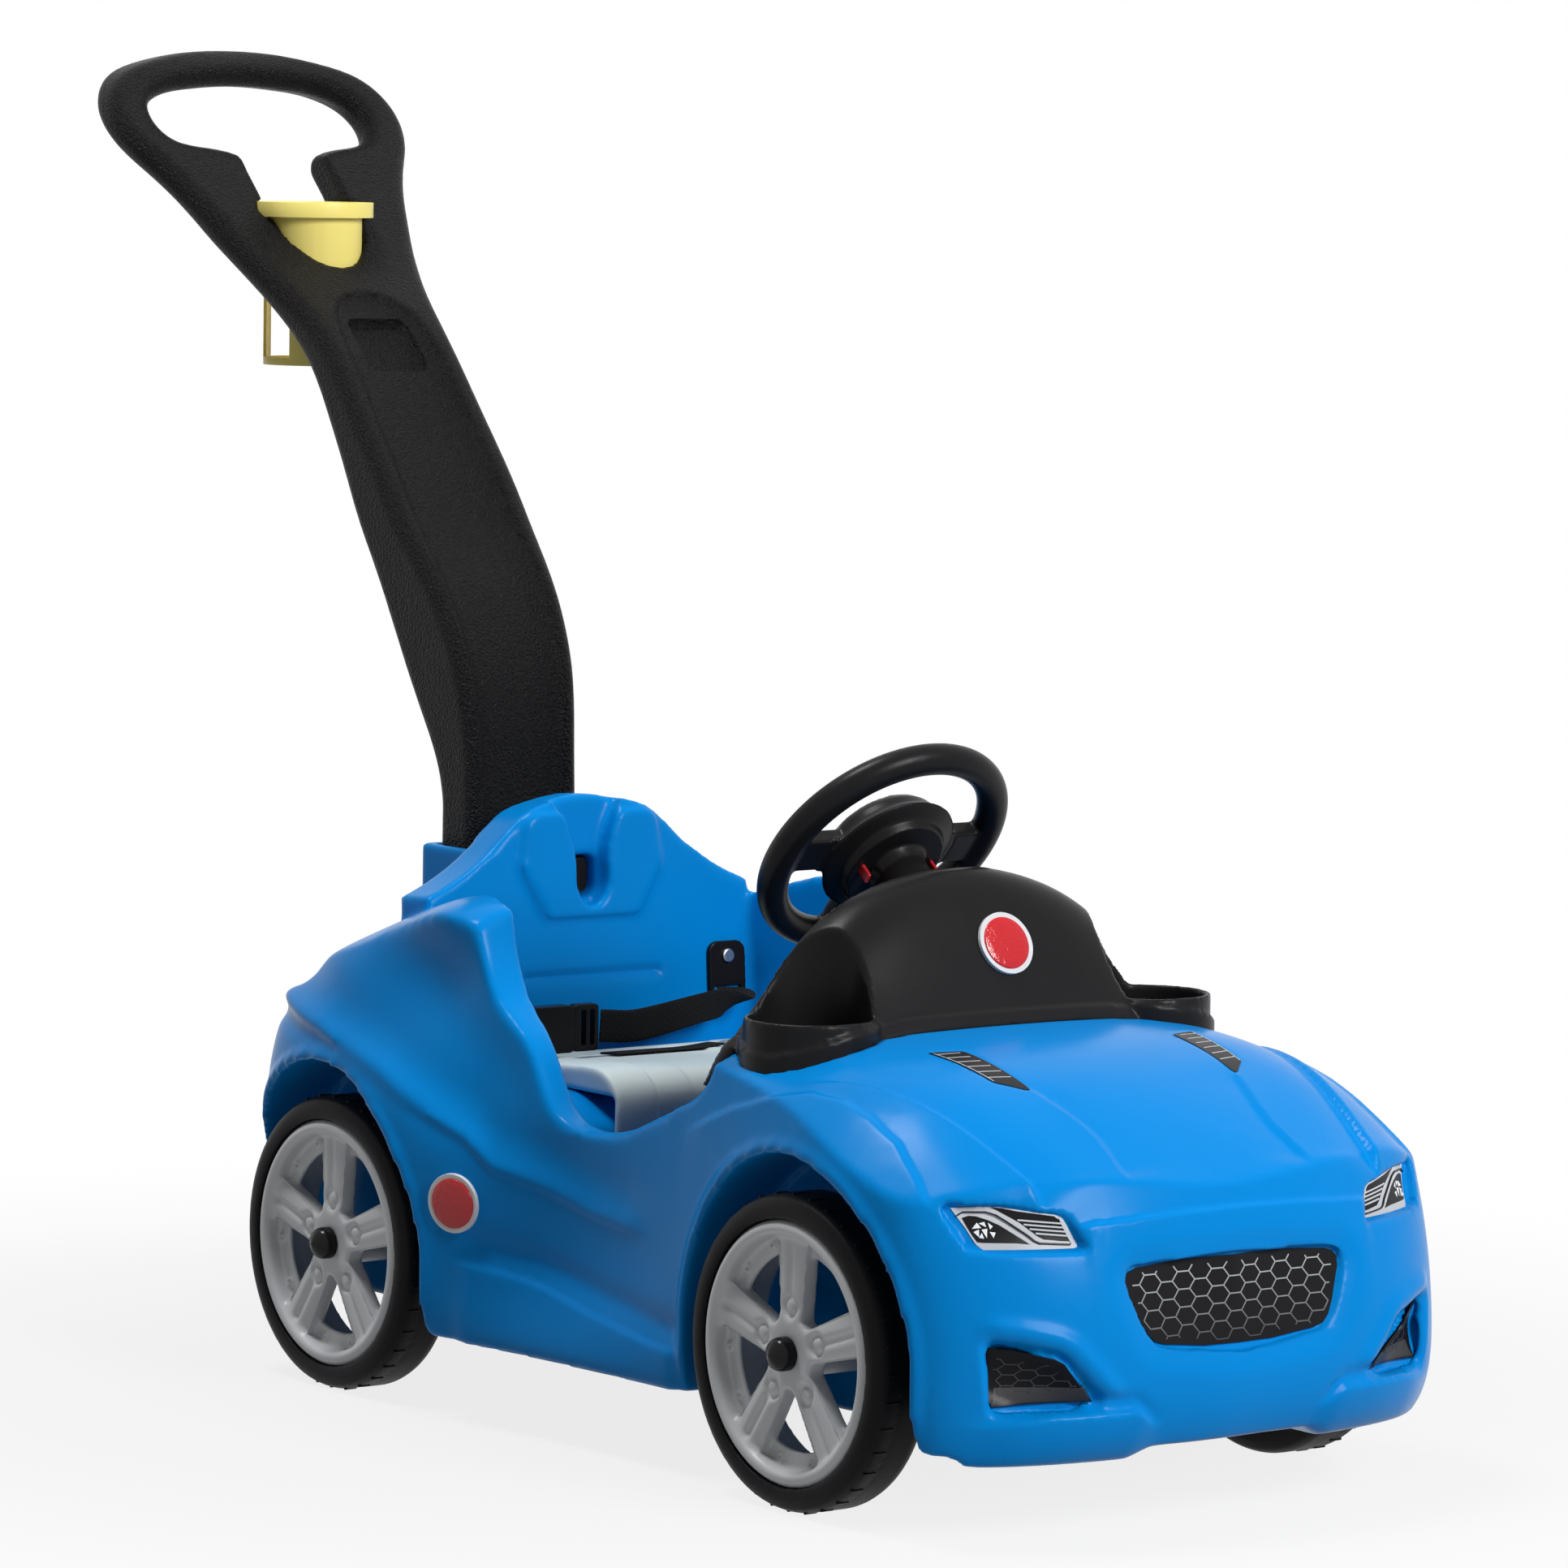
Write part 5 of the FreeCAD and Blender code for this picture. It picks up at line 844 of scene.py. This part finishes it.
# Studio: a pale floor that keeps the shadow, white behind, and large soft lights from the front and above.
# The camera stands at the photograph's own viewpoint.
def seen_directly(tree):
    """1 for rays from the camera, by gloss or through glass too, and 0 for light on its way."""
    path = tree.nodes.new("ShaderNodeLightPath")
    value = path.outputs["Is Camera Ray"]
    for kind in ("Is Glossy Ray", "Is Transmission Ray"):
        larger = tree.nodes.new("ShaderNodeMath")
        larger.operation = "MAXIMUM"
        tree.links.new(value, larger.inputs[0])
        tree.links.new(path.outputs[kind], larger.inputs[1])
        value = larger.outputs["Value"]
    return value


bpy.ops.mesh.primitive_plane_add(size=14)
floor = bpy.context.object
floor.name = "studio_floor"
paper = bpy.data.materials.new("pale_paper")
paper.use_nodes = True
tree = paper.node_tree
tree.nodes.remove(tree.nodes["Principled BSDF"])
matt = tree.nodes.new("ShaderNodeBsdfDiffuse")
matt.inputs["Color"].default_value = (0.38, 0.38, 0.38, 1)
glow = tree.nodes.new("ShaderNodeEmission")
share = tree.nodes.new("ShaderNodeMath")
share.operation = "MULTIPLY"
place = tree.nodes.new("ShaderNodeTexCoord")
span = tree.nodes.new("ShaderNodeVectorMath")
span.operation = "LENGTH"
fade = tree.nodes.new("ShaderNodeMapRange")
fade.interpolation_type = "SMOOTHSTEP"
fade.inputs["From Min"].default_value = 0.3
fade.inputs["From Max"].default_value = 1.3
fade.inputs["To Min"].default_value = 0.82
tree.links.new(place.outputs["Object"], span.inputs[0])
tree.links.new(span.outputs["Value"], fade.inputs["Value"])
tree.links.new(fade.outputs["Result"], share.inputs[1])
blend = tree.nodes.new("ShaderNodeMixShader")
tree.links.new(seen_directly(tree), share.inputs[0])
tree.links.new(share.outputs["Value"], blend.inputs[0])
tree.links.new(matt.outputs["BSDF"], blend.inputs[1])
tree.links.new(glow.outputs["Emission"], blend.inputs[2])
tree.links.new(blend.outputs["Shader"], tree.nodes["Material Output"].inputs["Surface"])
floor.data.materials.append(paper)

scene = bpy.context.scene
scene.view_settings.view_transform = "Standard"
scene.world = bpy.data.worlds.new("white_room")
scene.world.use_nodes = True
tree = scene.world.node_tree
room = tree.nodes["Background"]
room.inputs["Color"].default_value = (1, 1, 1, 1)
room.inputs["Strength"].default_value = 0.1
white = tree.nodes.new("ShaderNodeBackground")
white.inputs["Color"].default_value = (1, 1, 1, 1)
blend = tree.nodes.new("ShaderNodeMixShader")
tree.links.new(seen_directly(tree), blend.inputs[0])
tree.links.new(room.outputs["Background"], blend.inputs[1])
tree.links.new(white.outputs["Background"], blend.inputs[2])
tree.links.new(blend.outputs["Shader"], tree.nodes["World Output"].inputs["Surface"])

target = Vector((0, -0.05, 0.4))
for name, place, power, size in (("key_light", (0.5, -3.7, 2.3), 165, 1.4),
                                 ("top_light", (-0.8, 0.6, 3.8), 100, 1.0)):
    lamp = added(name, bpy.data.lights.new(name, "AREA"))
    lamp.data.energy = power
    lamp.data.size = size
    lamp.location = place
    lamp.rotation_euler = (target - Vector(place)).to_track_quat("-Z", "Y").to_euler()

azimuth, height, roll = (math.radians(a) for a in (-36.986, 5.237, 0.934))
back = Vector((math.sin(azimuth) * math.cos(height), -math.cos(azimuth) * math.cos(height), math.sin(height)))
right = Vector((math.cos(azimuth), math.sin(azimuth), 0))
up = back.cross(right)
right, up = right * math.cos(roll) + up * math.sin(roll), up * math.cos(roll) - right * math.sin(roll)
camera = added("photo_camera", bpy.data.cameras.new("photo_camera"))
camera.data.lens = 164.78
camera.data.sensor_width = 36
camera.matrix_world = Matrix((right, up, back)).transposed().to_4x4()
camera.location = (-3.1586, -4.3164, 0.9465)
scene.camera = camera
